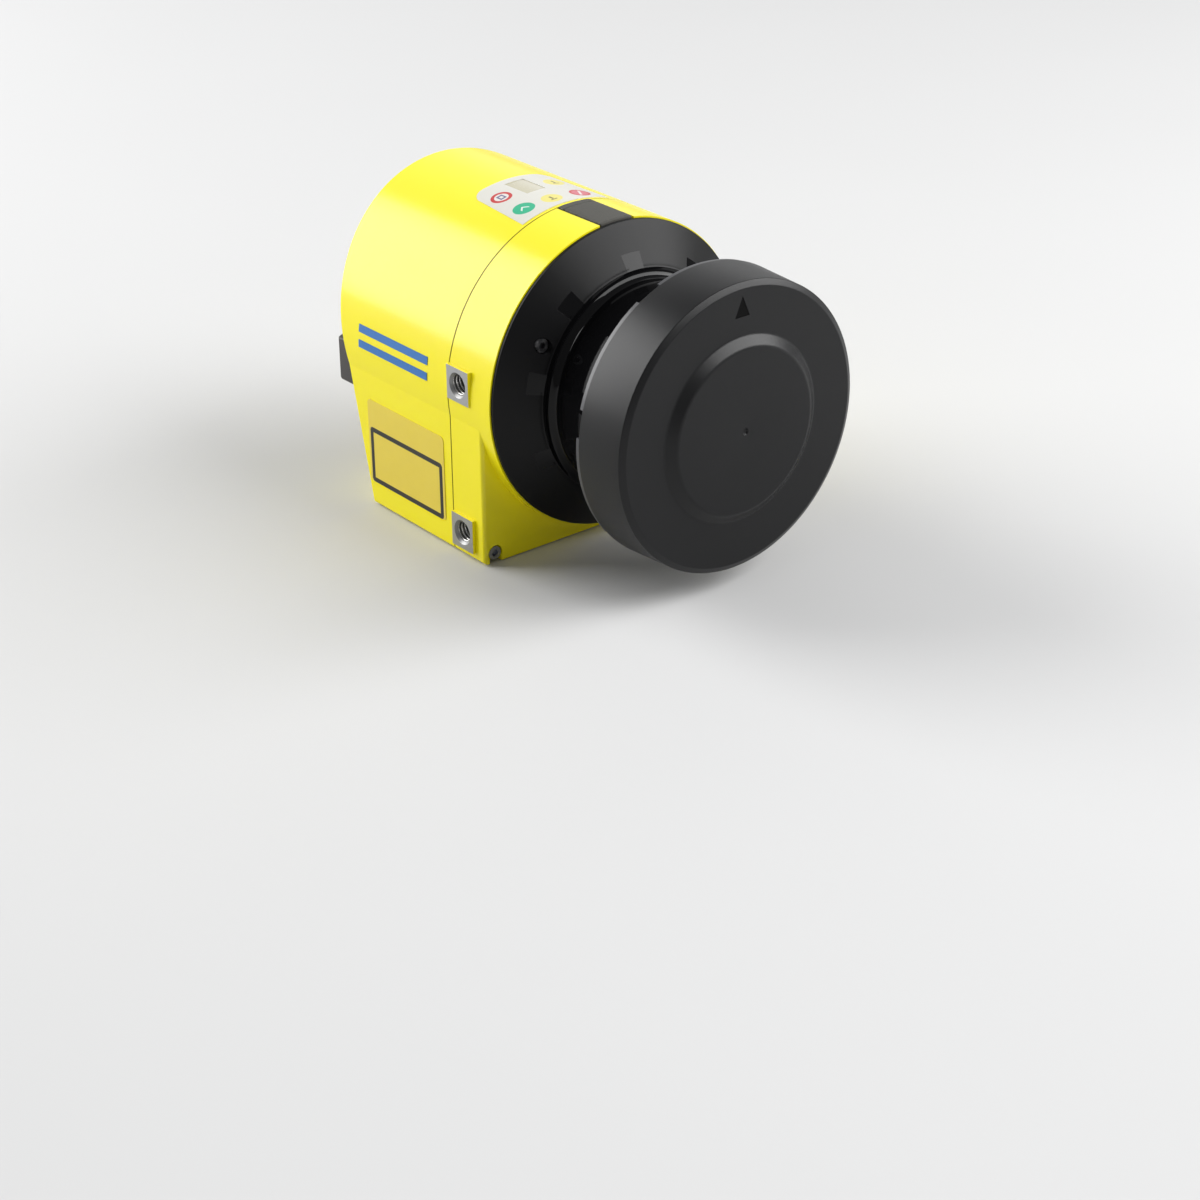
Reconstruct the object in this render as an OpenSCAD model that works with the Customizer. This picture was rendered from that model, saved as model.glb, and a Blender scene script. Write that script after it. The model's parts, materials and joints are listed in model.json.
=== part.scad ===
// Safety laser scanner: a round die-cast body with a flat back, a black optics
// cover with a waisted window, and a turning mirror under a domed head cap.
// Everything is drawn about the scanner axis, which runs along Y: the flange
// plane is y = 0, the head points to -Y, the base to +Y and the display to +Z.
// The last lines move it so that it lies on its back, centred on the origin.

/* [Body] */
// Radius of the round body
body_r = 51; // [46:0.5:56]
// How far the flat sides are cut into the round body
side_cut = 0.6; // [0.1:0.1:1.5]
// Height of the scanner axis above the mounting face
axis_h = 55; // [52:0.5:60]
// Height of the cast skirt above the mounting face
skirt_lift = 0.5; // [0.3:0.1:2]
// Wall of both castings
wall = 3; // [2.4:0.1:3.8]
// Radius of the long bottom edges
edge_r = 1.2; // [0.5:0.1:2]
// Depth of the front casting, from the flange plane to the joint
seam_y = 22.8; // [21:0.1:26]
// Width of the open joint between the castings
seam_gap = 0.4; // [0.3:0.05:0.8]
// Set-back of the foot's front face behind the flange plane
foot_front = 6.7; // [4:0.1:9]
// Distance from the flange plane to the base, on the axis
base_y = 80.6; // [76:0.2:90]
// Slope of the base
base_tilt = 13; // [9:0.5:16]

/* [Mounting pads] */
// Length of a side pad along the axis
pad_len = 11; // [9.6:0.1:11.4]
// Height of a side pad
pad_h = 11.4; // [9.6:0.1:12]
// How far the pads stand out of the widest casting face
pad_proud = 0.6; // [0.3:0.1:1.2]
// Height of the upper pads over the axis
upper_pad_z = 4.5; // [0:0.5:8]
// Height of the lower pads over the skirt's edge
lower_pad_up = 8.4; // [7.4:0.1:12]
// Core radius of the M8 threads
thread_r = 3.4; // [3.2:0.05:3.5]
// Depth of the M8 threads
thread_len = 8; // [6:0.2:9]
// Radius of the countersink at a thread's mouth
sink_r = 4.2; // [4:0.1:4.6]
// Radius of the round pads on the back
back_pad_r = 6; // [5:0.2:8]
// Half of the spacing of the back pads
back_pad_x = 36; // [30:0.5:38]

/* [Housing screws] */
// Thread radius of the two long screws under the optics cover
long_screw_r = 2; // [1.5:0.1:2.2]
// Thread radius of the two foot screws
foot_screw_r = 1.25; // [1:0.05:1.4]
// Distance of a foot screw from the flat side
foot_screw_in = 4.3; // [3.8:0.1:5.5]
// Height of a foot screw over the skirt's edge
foot_screw_up = 3.1; // [2.9:0.1:3.3]
// How far the screws reach into the rear casting
screw_grip = 15; // [10:0.5:18]

/* [Optics cover] */
// Thickness of the cover's rim
rim_t = 1.2; // [0.8:0.1:2]
// Set-back of the cover's rim from the body's side
rim_inset = 0.5; // [0.3:0.1:1.5]
// Width of the rim's flat land
land_w = 4.5; // [4:0.1:6]
// Thickness of the cover's wall
cover_t = 2.5; // [2:0.1:3]
// Rise of the flange cone from the rim to the neck
cone_rise = 8.1; // [6:0.1:10]
// Width of the flange cone, from its edge to the neck
cone_w = 13.5; // [12:0.1:15]
// How far the window is drawn in at its waist
waist_in = 3; // [2:0.1:4]
// Distance of the waist from the flange plane
waist_y = 12; // [11:0.1:14]
// How far the window flares out again under the head
neck_flare = 3; // [1:0.1:5]
// Distance of the window's upper end from the flange plane
neck_len = 36.6; // [34:0.2:40]
// Distance of the cover screws outside the neck's root
cover_screw_out = 3.5; // [3:0.1:4.5]
// Thread radius of the cover screws
cover_screw_r = 1.25; // [1:0.05:1.4]
// Depth of the polished sensor patches
patch_depth = 0.25; // [0.1:0.05:0.5]

/* [Head] */
// Set-back of the head from the body's side
head_inset = 3.3; // [1:0.1:6]
// Length of the cap
cap_len = 18.8; // [17.5:0.1:22]
// How much the cap narrows towards its face
cap_draft = 0.9; // [0.3:0.1:2]
// Radius of the cap's front edge
cap_edge = 3.5; // [2:0.1:5]
// Wall of the cap
cap_wall = 2.8; // [2:0.1:3.2]
// Height of the raised centre of the face
plateau_h = 2.4; // [1:0.1:3]
// Width of the flat ring round the raised centre
annulus_w = 16.6; // [13:0.1:20]
// Thickness of the notched lip under the cap
lip_t = 1.3; // [1:0.1:2]
// Width of a lip notch, in degrees
notch_deg = 10.6; // [8:0.2:16]

/* [Rotor and lens] */
// Distance of the scan plane from the flange plane
scan_y = 23.6; // [22.4:0.1:25.6]
// Radius of the mirror and its carrier
mirror_r = 17.5; // [15:0.1:18.5]
// Thickness of the mirror
mirror_t = 2.2; // [1.5:0.1:3]
// Radius of the rotor's shaft
shaft_r = 2; // [1.5:0.1:2.5]
// Outer radius of the ball bearings
bearing_r = 6.5; // [5.5:0.1:7]
// Radius of the motor's bell
bell_r = 20.5; // [18:0.1:21]
// How far the encoder disc reaches past the motor's bell
encoder_over = 5.5; // [4:0.1:6.5]
// Number of slots in the encoder disc
encoder_slots = 24; // [12:4:36]
// Radius of the receiving lens
lens_r = 21.8; // [19:0.1:23]
// Radius of the laser's barrel
barrel_r = 6; // [5:0.1:6.5]
// Distance of the lens tube's rear end from the flange plane
tube_end = 34; // [32:0.2:36]

/* [Electronics] */
// Thickness of the circuit boards
board_t = 1.6; // [1:0.1:2]
// Space between the lens tube's board and the main board
main_gap = 10; // [9:0.2:11]
// Space between the main board and the power board
stack_gap = 12; // [10:0.2:12.6]
// Radius of the board spacers
spacer_r = 3; // [2:0.1:3.5]

/* [Display] */
// Width of the display window
window_w = 7.5; // [6:0.1:9]
// Length of the display window along the axis
window_l = 12; // [10:0.1:13]
// Distance of the window's centre behind the joint
window_back = 22.4; // [22:0.1:24]
// Sideways place of the whole display
display_x = -1.9; // [-2.4:0.1:2.4]
// Radius of a status lamp's light pipe
lamp_r = 1.6; // [1.2:0.1:2]
// Half of the distance between the outer lamps
lamp_x = 10.6; // [10:0.1:11.4]
// Thickness of the printed films
film_t = 0.2; // [0.1:0.05:0.4]

/* [Configuration socket] */
// Width of the rubber cover
flap_w = 13; // [11:0.2:15]
// Depth of the channel under the rubber cover
channel_depth = 2; // [1.6:0.1:2.4]
// How far the rubber stands out of the body
flap_proud = 0.4; // [0.2:0.1:0.8]
// Length of the fixed root behind the hinge line
flap_root = 3; // [2:0.1:4]
// Radius of the round socket
socket_r = 5.4; // [4.5:0.1:5.8]
// Gap around the swinging cover
flap_gap = 0.3; // [0.25:0.05:0.5]

/* [System plug] */
// Set-back of the plug from the body's side
plug_inset = 6; // [5:0.1:9]
// Depth of the plug below the axis
plug_low = 18.7; // [16:0.1:20]
// Wall of the plug's housing
plug_wall = 2.5; // [2:0.1:3]
// Thickness of the plug's seal
plug_seal_t = 0.6; // [0.4:0.1:1]
// Distance of the plug's screws from its ends
plug_screw_in = 5.5; // [5:0.1:6]
// Thread radius of the plug's screws
plug_screw_r = 2; // [1.5:0.1:2.2]
// Thread radius of the cable gland
gland_r = 6; // [5:0.1:6.4]
// Sideways place of the cable gland
gland_x = 22; // [18:0.2:26]

/* [Hidden] */
$fn = 72;
big = 200;
fit = 0.05;          // slack of a close fit
loose = 0.2;         // slack of a loose fit
run = 0.03;          // slack of a running fit

flat_half = body_r - side_cut;

// Along the axis, from the flange plane to the base
ring_front = rim_t;
web_t = 3.7;
web_back = ring_front + web_t;
bench_t = 3.5;
bench_back = web_back + bench_t;
front_end = seam_y - seam_gap / 2;
rear_start = seam_y + seam_gap / 2;
foot_web = foot_front + 3.3;
main_y = tube_end + main_gap;
power_y = main_y + board_t + stack_gap;
slope = tan(base_tilt);
plug_end = base_y + body_r * slope;

// Along the axis, from the flange plane to the face of the head
lip_y = -neck_len - 0.5;
plate_y = lip_y - 2.8;
cap_rear = lip_y - lip_t;
cap_face = cap_rear - cap_len;
cap_inside = cap_face + cap_wall;
encoder_r = bell_r + encoder_over;
encoder_y = cap_inside + 1.6;
encoder_t = 0.8;
bell_y = encoder_y + encoder_t;
bell_t = 1.5;
stator_y = bell_y + bell_t + 0.6;
hub_end = -neck_len + 2.5;
carrier_y = hub_end + 0.7;
carrier_t = 3;
tube_front = -scan_y + mirror_r + 1.6;

// Heights about the axis
skirt_z = -(axis_h - skirt_lift);
lower_pad_z = skirt_z + lower_pad_up;
pad_face = body_r + pad_proud;
pad_y = front_end - 0.3 - pad_len / 2;
front_back_pad_y = (foot_front + front_end) / 2;
rear_back_pad_y = base_y - axis_h * slope - back_pad_r - 2;
roof = body_r - wall;
display_z = roof - 9;
window_y = seam_y + window_back;
pad_top = skirt_z + wall + thread_len;
crease_z = -sqrt(pow(body_r, 2) - pow(flat_half, 2));
channel_z = body_r - channel_depth;
socket_y = (ring_front + front_end - flap_root) / 2 + 1.4;

// Radii on the front of the body
rim_r = body_r - rim_inset;
root_r = rim_r - cone_w;
waist_r = root_r - waist_in;
neck_top_r = root_r + neck_flare;
cover_screw_pcd_r = root_r + cover_screw_out;
land_in = rim_r - land_w;
seal_r = rim_r - 2.1;
screw_boss_r = 5;
long_head_r = long_screw_r + 1.5;
long_screw_pcd_r = seal_r - 1.5 - long_head_r;
head_r = body_r - head_inset;
face_r = head_r - cap_draft;
plateau_r = face_r - annulus_w;
tube_in = lens_r + loose;
tube_out = tube_in + 3;
spacer_xy = (long_screw_pcd_r - screw_boss_r - spacer_r - 1.2) / sqrt(2);
barrel_seat = tube_in - 1.5;
plate_r = head_r - cap_wall - 0.4;

// The film over the display
film_front = rear_start + 1.4;
film_back = window_y + window_l / 2 + 3.2;
film_half = 17;
film_taper = 2;

// The lamps beside and below the display window
lamps = [
    [display_x - lamp_x, window_y - 1.1],
    [display_x - lamp_x, window_y - 13.4],
    [display_x, window_y - 14.9],
    [display_x + lamp_x, window_y - 1.8],
    [display_x + lamp_x, window_y - 15]
];

// Placing of the whole scanner
mid_y = (cap_face - plateau_h + plug_end) / 2;

// ---- Helpers ------------------------------------------------------------

// Turns a revolved profile of (radius, distance along the axis) onto the Y axis
module about_y() rotate([-90, 0, 0]) rotate_extrude() children();

// A round bar along Y from y0 to y1
module bar_y(r, y0, y1) translate([0, y0, 0]) rotate([-90, 0, 0]) cylinder(r = r, h = y1 - y0);

// A tube along Y from y0 to y1
module tube_y(r_out, r_in, y0, y1) difference() {
    bar_y(r_out, y0, y1);
    bar_y(r_in, y0 - 1, y1 + 1);
}

// A cone frustum along Y from y0 to y1
module cone_y(r0, r1, y0, y1) translate([0, y0, 0]) rotate([-90, 0, 0]) cylinder(r1 = r0, r2 = r1, h = y1 - y0);

// An outline in the XZ plane, drawn out along Y from y0 to y1
module slab_y(y0, y1) translate([0, y1, 0]) rotate([90, 0, 0]) linear_extrude(y1 - y0) children();

// A place on a circle about the axis: 0 is the top, +90 the right side
module at_angle(angle, r) rotate([0, angle, 0]) translate([0, 0, r]) children();

// Mirrors its children to both sides
module both_sides() for (side = [-1, 1]) scale([side, 1, 1]) children();

// A box given by its lowest and highest corners
module span(low, high) translate(low) cube(high - low);

// A rectangle with round corners, centred
module soft_rect(w, h, r) {
    square([w - 2 * r, h], center = true);
    square([w, h - 2 * r], center = true);
    for (x = [-1, 1], y = [-1, 1]) translate([x * (w / 2 - r), y * (h / 2 - r)]) circle(r);
}

// A socket-head screw along +Y: the head ends at y = 0, the shank runs on
module socket_screw(shank_r, head_r, head_h, shank_len) difference() {
    union() {
        bar_y(head_r, -head_h, 0);
        bar_y(shank_r, -0.5, shank_len);
    }
    translate([0, -head_h - 1, 0]) rotate([-90, 0, 0]) cylinder(r = head_r * 0.56, h = head_h * 0.55 + 1, $fn = 6);
}

// ---- Castings -----------------------------------------------------------

// The body's cross-section: a circle on a flat-sided foot, grown by g
module body_outline(g) {
    half = flat_half + g;
    low = skirt_z - g;
    difference() {
        circle(body_r + g);
        translate([-big / 2, low - big]) square(big);
    }
    translate([-half, low + edge_r]) square([2 * half, g - low - edge_r]);
    translate([-half + edge_r, low]) square([2 * (half - edge_r), edge_r + 1]);
    for (side = [-1, 1]) translate([side * (half - edge_r), low + edge_r]) circle(edge_r);
}

// Everything behind the sloping base, moved forward by inset
module behind_base(inset) translate([0, base_y - inset / cos(base_tilt), 0])
    rotate([-base_tilt, 0, 0]) translate([-big / 2, 0, -big / 2]) cube([big, big, big]);

module body_block(g, y0, inset) difference() {
    slab_y(y0, plug_end + 1) body_outline(g);
    behind_base(inset);
}

// A blind M8 thread, drilled along -Z from z = 0
module m8_thread() {
    translate([0, 0, -thread_len]) cylinder(r = thread_r, h = thread_len + 1);
    translate([0, 0, thread_r - sink_r]) cylinder(r1 = thread_r, r2 = sink_r, h = sink_r - thread_r);
    cylinder(r = sink_r, h = 1);
}

// A round boss on the back, with its machined face at the mounting plane
module back_pad(x, y) translate([x, y, -axis_h]) cylinder(r = back_pad_r, h = pad_top + axis_h);

module back_pad_threads(y) for (side = [-1, 1])
    translate([side * back_pad_x, y, -axis_h]) rotate([180, 0, 0]) m8_thread();

// Where the long screws and the foot screws run
module at_long_screws() for (angle = [-45, 45]) at_angle(angle, long_screw_pcd_r) children();
module at_foot_screws() for (side = [-1, 1])
    translate([side * (flat_half - foot_screw_in), 0, skirt_z + foot_screw_up]) children();

foot_boss = foot_screw_in + 4.2;

module foot_screw_boss(y0, y1) for (side = [-1, 1])
    translate([side * (flat_half - foot_boss / 2 - 0.5), 0, skirt_z + 4.5])
        span([-foot_boss / 2, y0, -4], [foot_boss / 2, y1, 4]);

// The upright block of the display window, from z0 to z1, grown by g
module window_block(g, z0, z1) translate([display_x, window_y, 0])
    span([-window_w / 2 - g, -window_l / 2 - g, z0], [window_w / 2 + g, window_l / 2 + g, z1]);

module lamp_bores() for (lamp = lamps)
    translate([lamp[0], lamp[1], display_z]) cylinder(r = lamp_r + fit, h = 20);

module rear_housing() color([0.98, 0.89, 0.05]) difference() {
    union() {
        difference() {
            body_block(0, rear_start, 0);
            body_block(-wall, rear_start - 1, wall);
        }
        intersection() {
            body_block(-1, rear_start, 1);
            union() {
                at_long_screws() bar_y(screw_boss_r, rear_start, rear_start + screw_grip + 3);
                foot_screw_boss(rear_start, rear_start + screw_grip + 3);
                for (x = [-14, 14], y = [film_front + 3, film_back - 1.5])
                    translate([display_x + x, y, display_z + board_t]) cylinder(r = 2.5, h = 10);
                for (side = [-1, 1]) translate([side * plug_screw_x, 0, 2])
                    bar_y(4.5, base_y - wall - 9, plug_end);
            }
        }
        for (side = [-1, 1]) back_pad(side * back_pad_x, rear_back_pad_y);
    }
    at_long_screws() bar_y(long_screw_r + run, rear_start - 1, rear_start + screw_grip + 1);
    at_foot_screws() bar_y(foot_screw_r + run, rear_start - 1, rear_start + screw_grip + 1);
    for (side = [-1, 1]) translate([side * plug_screw_x, 0, 2])
        bar_y(plug_screw_r + run, base_y - wall - 7, plug_end);
    back_pad_threads(rear_back_pad_y);
    window_block(0, 0, body_r + 1);
    lamp_bores();
    header_opening();
}

// The foot seen from above, with round front corners
module foot_plan() {
    back = foot_front + edge_r;
    translate([-flat_half, back]) square([2 * flat_half, front_end - back + 1]);
    translate([edge_r - flat_half, foot_front]) square([2 * (flat_half - edge_r), edge_r + 1]);
    for (side = [-1, 1]) translate([side * (flat_half - edge_r), back]) circle(edge_r);
}

module front_housing() color([0.98, 0.9, 0.08]) difference() {
    union() {
        difference() {
            union() {
                bar_y(body_r, ring_front, front_end);
                intersection() {
                    slab_y(foot_front, front_end) body_outline(0);
                    translate([0, 0, -big / 2]) linear_extrude(big) foot_plan();
                }
            }
            bar_y(body_r - wall, web_back, front_end + 1);
            slab_y(foot_web, front_end + 1) body_outline(-wall);
        }
        intersection() {
            union() {
                bar_y(body_r - 1, ring_front, front_end);
                slab_y(foot_front, front_end) body_outline(-1);
            }
            union() {
                at_long_screws() bar_y(screw_boss_r, web_back - 1, front_end);
                foot_screw_boss(foot_front, front_end);
                translate([0, socket_y, channel_z - 6]) cylinder(r = socket_r + 2.6, h = 10);
            }
        }
        for (side = [-1, 1], z = [upper_pad_z, lower_pad_z]) scale([side, 1, 1])
            span([pad_face - thread_len - 3, pad_y - pad_len / 2, z - pad_h / 2],
                 [pad_face, pad_y + pad_len / 2, z + pad_h / 2]);
        for (side = [-1, 1]) back_pad(side * back_pad_x, front_back_pad_y);
    }
    bar_y(root_r, ring_front - 1, web_back + 1);
    tube_y(seal_r + 0.8, seal_r - 0.8, ring_front - 1, ring_front + 0.8);
    for (side = [-1, 1], z = [upper_pad_z, lower_pad_z])
        translate([side * pad_face, pad_y, z]) rotate([0, side * 90, 0]) m8_thread();
    back_pad_threads(front_back_pad_y);
    at_long_screws() {
        bar_y(long_screw_r + 0.1, ring_front, front_end + 1);
        bar_y(long_head_r + loose, ring_front - 1, web_back + 0.7);
    }
    at_foot_screws() {
        bar_y(foot_screw_r + 0.1, foot_front - 1, front_end + 1);
        bar_y(foot_screw_r + 1.5, foot_front - 1, foot_front + 2.8);
        span([-foot_screw_r - 1.1, foot_front - 1, -5], [foot_screw_r + 1.1, foot_front + 2.8, 0]);
    }
    at_cover_screws() bar_y(cover_screw_r + run, ring_front - 1, web_back);
    at_bench_screws() bar_y(1.25 + run, ring_front + 0.8, web_back + 1);
    span([-flap_w / 2 - flap_gap, ring_front - 1, channel_z], [flap_w / 2 + flap_gap, seam_y, body_r + 1]);
    translate([0, socket_y, 0]) cylinder(r = socket_r + fit, h = body_r);
}

module housing_seal() color([0.08, 0.08, 0.08]) difference() {
    slab_y(front_end, rear_start) difference() {
        body_outline(-wall / 2 + 0.7);
        body_outline(-wall / 2 - 0.1);
    }
    span([-flap_w / 2 - 1, front_end - 1, channel_z - 1.2], [flap_w / 2 + 1, rear_start + 1, body_r]);
}

module housing_screws() color([0.12, 0.12, 0.12]) {
    at_long_screws() translate([0, web_back + 0.7, 0])
        socket_screw(long_screw_r, long_head_r, 3.4, rear_start + screw_grip - web_back - 0.7);
    at_foot_screws() translate([0, foot_front + 2.8, 0])
        socket_screw(foot_screw_r, foot_screw_r + 1, 2.5, rear_start + screw_grip - foot_front - 2.8);
}

// ---- Optics cover -------------------------------------------------------

cone_slope = cone_rise / (rim_r - root_r);
root_y = -cone_rise;
// where the cone stands at radius r
function cone_y_at(r) = -(rim_r - r) * cone_slope;

cover_screw_angles = [-60, 60, 180];
module at_cover_screws() for (angle = cover_screw_angles) at_angle(angle, cover_screw_pcd_r) children();
screw_seat_y = -3;
cover_sink_r = cover_screw_r + 1.25;

// One polished patch in front of a contamination sensor, a sector of the cone
module sensor_patch(angle) rotate([0, angle - 95, 0]) rotate([-90, 0, 0]) rotate_extrude(angle = 10)
    polygon([
        [root_r + 0.6, cone_y_at(root_r + 0.6) + patch_depth],
        [root_r + 5, cone_y_at(root_r + 5) + patch_depth],
        [root_r + 5, cone_y_at(root_r + 5) - 2],
        [root_r + 0.6, cone_y_at(root_r + 0.6) - 2]
    ]);
patch_step = 270 / 7;

// The outside: rim, cone, a quarter round into the neck, and the flared neck
module cover_outside() difference() {
    polygon([
        [0, rim_t], [rim_r, rim_t], [rim_r, 0.3], [rim_r - 0.3, 0],
        [root_r, root_y], [root_r, root_y - waist_in], [waist_r, root_y - waist_in],
        [waist_r, -max(waist_y, waist_in - root_y + 0.1)], [neck_top_r, -neck_len], [0, -neck_len]]);
    translate([root_r, root_y - waist_in]) circle(waist_in);
}

cover_inside = [
    [0, -neck_len - 1],
    [neck_top_r - cover_t, -neck_len - 1],
    [neck_top_r - cover_t, -neck_len],
    [waist_r - cover_t, -waist_y],
    [waist_r - cover_t, root_y + cover_t],
    [root_r, root_y + cover_t + 0.3],
    [land_in, cone_y_at(land_in) + cover_t + 0.4],
    [land_in, rim_t + 1],
    [0, rim_t + 1]];

module optics_cover() color([0.06, 0.06, 0.065]) difference() {
    about_y() cover_outside();
    difference() {
        about_y() polygon(cover_inside);
        at_cover_screws() {
            bar_y(cover_sink_r + 1.5, root_y, screw_seat_y + 1.4);
            bar_y(cover_screw_r + 1.5, root_y, ring_front);
        }
    }
    at_cover_screws() {
        bar_y(cover_screw_r + 0.1, root_y, ring_front + 1);
        bar_y(cover_sink_r, -cone_rise - 3, screw_seat_y);
    }
    for (i = [-3:3]) sensor_patch(i * patch_step);
}

module cover_seal() color([0.15, 0.15, 0.15]) tube_y(seal_r + 0.8, seal_r - 0.8, ring_front, ring_front + 0.8);

module cover_screws() color([0.1, 0.1, 0.1]) at_cover_screws() translate([0, screw_seat_y, 0])
    socket_screw(cover_screw_r, cover_screw_r + 1, 2.5, web_back - screw_seat_y - 0.4);

// ---- Head ---------------------------------------------------------------

lip_notches = [-135, -80, -25, 25, 80, 135, 180];

spigot_r = neck_top_r - cover_t - 0.8;
hub_r = bearing_r + 2.5;
lip_r = head_r - 0.2;

module head_plate() color([0.13, 0.13, 0.14]) difference() {
    about_y() polygon([
        [bearing_r + fit, plate_y - 6], [hub_r, plate_y - 6], [hub_r, plate_y],
        [plate_r, plate_y], [plate_r, cap_rear], [lip_r, cap_rear], [lip_r, lip_y],
        [neck_top_r, lip_y], [neck_top_r, -neck_len], [spigot_r, -neck_len],
        [spigot_r, -neck_len + 1.5], [hub_r, -neck_len + 1.5], [hub_r, hub_end],
        [bearing_r + fit, hub_end]]);
    for (angle = lip_notches) rotate([0, angle - 90 - notch_deg / 2, 0]) rotate([-90, 0, 0])
        rotate_extrude(angle = notch_deg) translate([plate_r + 0.6, cap_rear - 1]) square([10, lip_t + 2]);
}

module cap_outline() {
    slope_w = 2.8;
    outer = [
        [head_r, cap_rear], [face_r, cap_face + cap_edge], [face_r, cap_face],
        [plateau_r, cap_face], [plateau_r - slope_w, cap_face - plateau_h], [1.2, cap_face - plateau_h],
        [1.2, cap_face - plateau_h + 0.5], [0, cap_face - plateau_h + 0.5]];
    inner = [
        [0, cap_inside - plateau_h],
        [plateau_r - slope_w - 0.8, cap_inside - plateau_h],
        [plateau_r - 0.8, cap_inside],
        [face_r - cap_wall - 2, cap_inside],
        [face_r - cap_wall, cap_inside + 2],
        [head_r - cap_wall - 0.2, cap_rear]];
    difference() {
        polygon(concat(outer, inner));
        // the round front edge
        difference() {
            translate([face_r - cap_edge, cap_face - 1]) square(cap_edge + 1);
            translate([face_r - cap_edge, cap_face + cap_edge]) circle(cap_edge);
        }
    }
}

module head_cap() color([0.17, 0.17, 0.18]) difference() {
    about_y() cap_outline();
    // engraved triangle that marks the middle of the scan
    translate([0, cap_face + 0.4, head_r - 4.9]) rotate([90, 0, 0]) linear_extrude(2)
        polygon([[0, 0], [-2.9, -6.6], [2.9, -6.6]]);
}

module motor_stator() color([0.6, 0.35, 0.15]) tube_y(bell_r - 3, hub_r + fit, stator_y, plate_y);

module motor_board() color([0.05, 0.3, 0.15]) tube_y(plate_r - 4.5, bell_r + 1.2, plate_y - board_t, plate_y);

sensor_arm_gap = 0.6;
module encoder_sensor() color([0.1, 0.1, 0.1]) difference() {
    span([-3, encoder_y - sensor_arm_gap - 0.8, bell_r + 1.5], [3, plate_y - board_t, encoder_r + 6]);
    span([-4, encoder_y - sensor_arm_gap, bell_r], [4, encoder_y + encoder_t + sensor_arm_gap, encoder_r + 1]);
    span([-4, encoder_y + encoder_t + sensor_arm_gap + 1.4, bell_r], [4, plate_y, encoder_r + 2.5]);
}

module motor_bearings() color([0.75, 0.75, 0.77]) {
    tube_y(bearing_r, shaft_r + run, plate_y - 5.6, plate_y - 0.6);
    tube_y(bearing_r, shaft_r + run, hub_end - 5, hub_end);
}

module rotor_shaft() color([0.8, 0.8, 0.82]) bar_y(shaft_r, encoder_y - 0.8, carrier_y + carrier_t);

module motor_bell() color([0.55, 0.56, 0.58]) {
    tube_y(bell_r, shaft_r, bell_y, bell_y + bell_t);
    tube_y(bell_r, bell_r - 2.5, bell_y, plate_y - 0.8);
    tube_y(shaft_r + 2, shaft_r, bell_y, bell_y + bell_t + 0.4);
}

module encoder_disc() color([0.2, 0.2, 0.22]) difference() {
    tube_y(encoder_r, shaft_r, encoder_y, encoder_y + encoder_t);
    for (i = [0:encoder_slots - 1]) at_angle(i * 360 / encoder_slots, encoder_r - 2.6)
        span([-1, encoder_y - 1, -1.6], [1, encoder_y + encoder_t + 1, 1.6]);
}

// Everything on the light's side of the plane at 45 degrees, moved back by depth
module light_side(depth) translate([0, -scan_y - depth * sqrt(2), 0]) rotate([45, 0, 0])
    translate([-big / 2, 0, -big / 2]) cube([big, big, big]);

module mirror_carrier() color([0.25, 0.25, 0.27]) difference() {
    bar_y(mirror_r, carrier_y, 0);
    bar_y(mirror_r - 2.5, carrier_y + carrier_t, 1);
    bar_y(shaft_r, carrier_y - 1, carrier_y + carrier_t + 1);
    light_side(mirror_t);
}

module scan_mirror() color([0.85, 0.88, 0.92]) intersection() {
    bar_y(mirror_r, carrier_y, 0);
    difference() {
        light_side(mirror_t);
        light_side(0);
    }
}

// ---- Receiver and laser -------------------------------------------------

bench_r = root_r + 5;
module at_bench_screws() for (angle = [-30, 30, 150, 210]) at_angle(angle, root_r + 2.6) children();

module lens_tube() color([0.1, 0.1, 0.11]) difference() {
    union() {
        bar_y(tube_out, tube_front, tube_end);
        difference() {
            bar_y(bench_r, web_back, bench_back);
            at_long_screws() bar_y(screw_boss_r + 0.3, web_back - 1, bench_back + 1);
            span([-10, web_back - 1, tube_out + 2], [10, bench_back + 1, bench_r + 1]);
        }
    }
    bar_y(tube_in, tube_front - 1, tube_front + 7);
    bar_y(barrel_seat, tube_front, tube_end - 16);
    bar_y(barrel_seat - 3, tube_front, tube_end + 1);
    at_bench_screws() bar_y(1.25 + fit, web_back - 1, bench_back + 1);
}

module bench_screws() color([0.7, 0.7, 0.7]) at_bench_screws() translate([0, bench_back, 0])
    scale([1, -1, 1]) socket_screw(1.25, 2.2, 1.8, bench_back - ring_front - 1);

// Plano-convex: the front is a shallow arc of nine chords, the centre is drilled
lens_sag = 2.6;
module receiving_lens() color([0.7, 0.85, 0.9, 0.6]) difference() {
    about_y() polygon(concat(
        [for (i = [0:8]) let (r = barrel_r + (lens_r - barrel_r) * i / 8)
            [r, tube_front + 1.2 + lens_sag * pow(r / lens_r, 2)]],
        [[lens_r, tube_front + 7], [barrel_r, tube_front + 7]]));
    bar_y(barrel_r + loose, tube_front, tube_front + 8);
}

lens_ring_in = tube_in - 2.2;
lens_ring_y = tube_front + 1.15 + lens_sag * pow(lens_ring_in / lens_r, 2);
module lens_ring() color([0.2, 0.2, 0.2]) tube_y(tube_in - fit, lens_ring_in, lens_ring_y - 1.2, lens_ring_y);

module laser_holder() color([0.3, 0.3, 0.32]) {
    seat = tube_end - 16;
    tube_y(barrel_seat - fit, barrel_seat - 3, seat - 3, seat);
    tube_y(barrel_r + 2.5, barrel_r + fit, seat - 3, seat);
    for (angle = [60, 180, 300]) rotate([0, angle, 0])
        span([-1, seat - 3, barrel_r + 1], [1, seat, barrel_seat - 2]);
}

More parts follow.
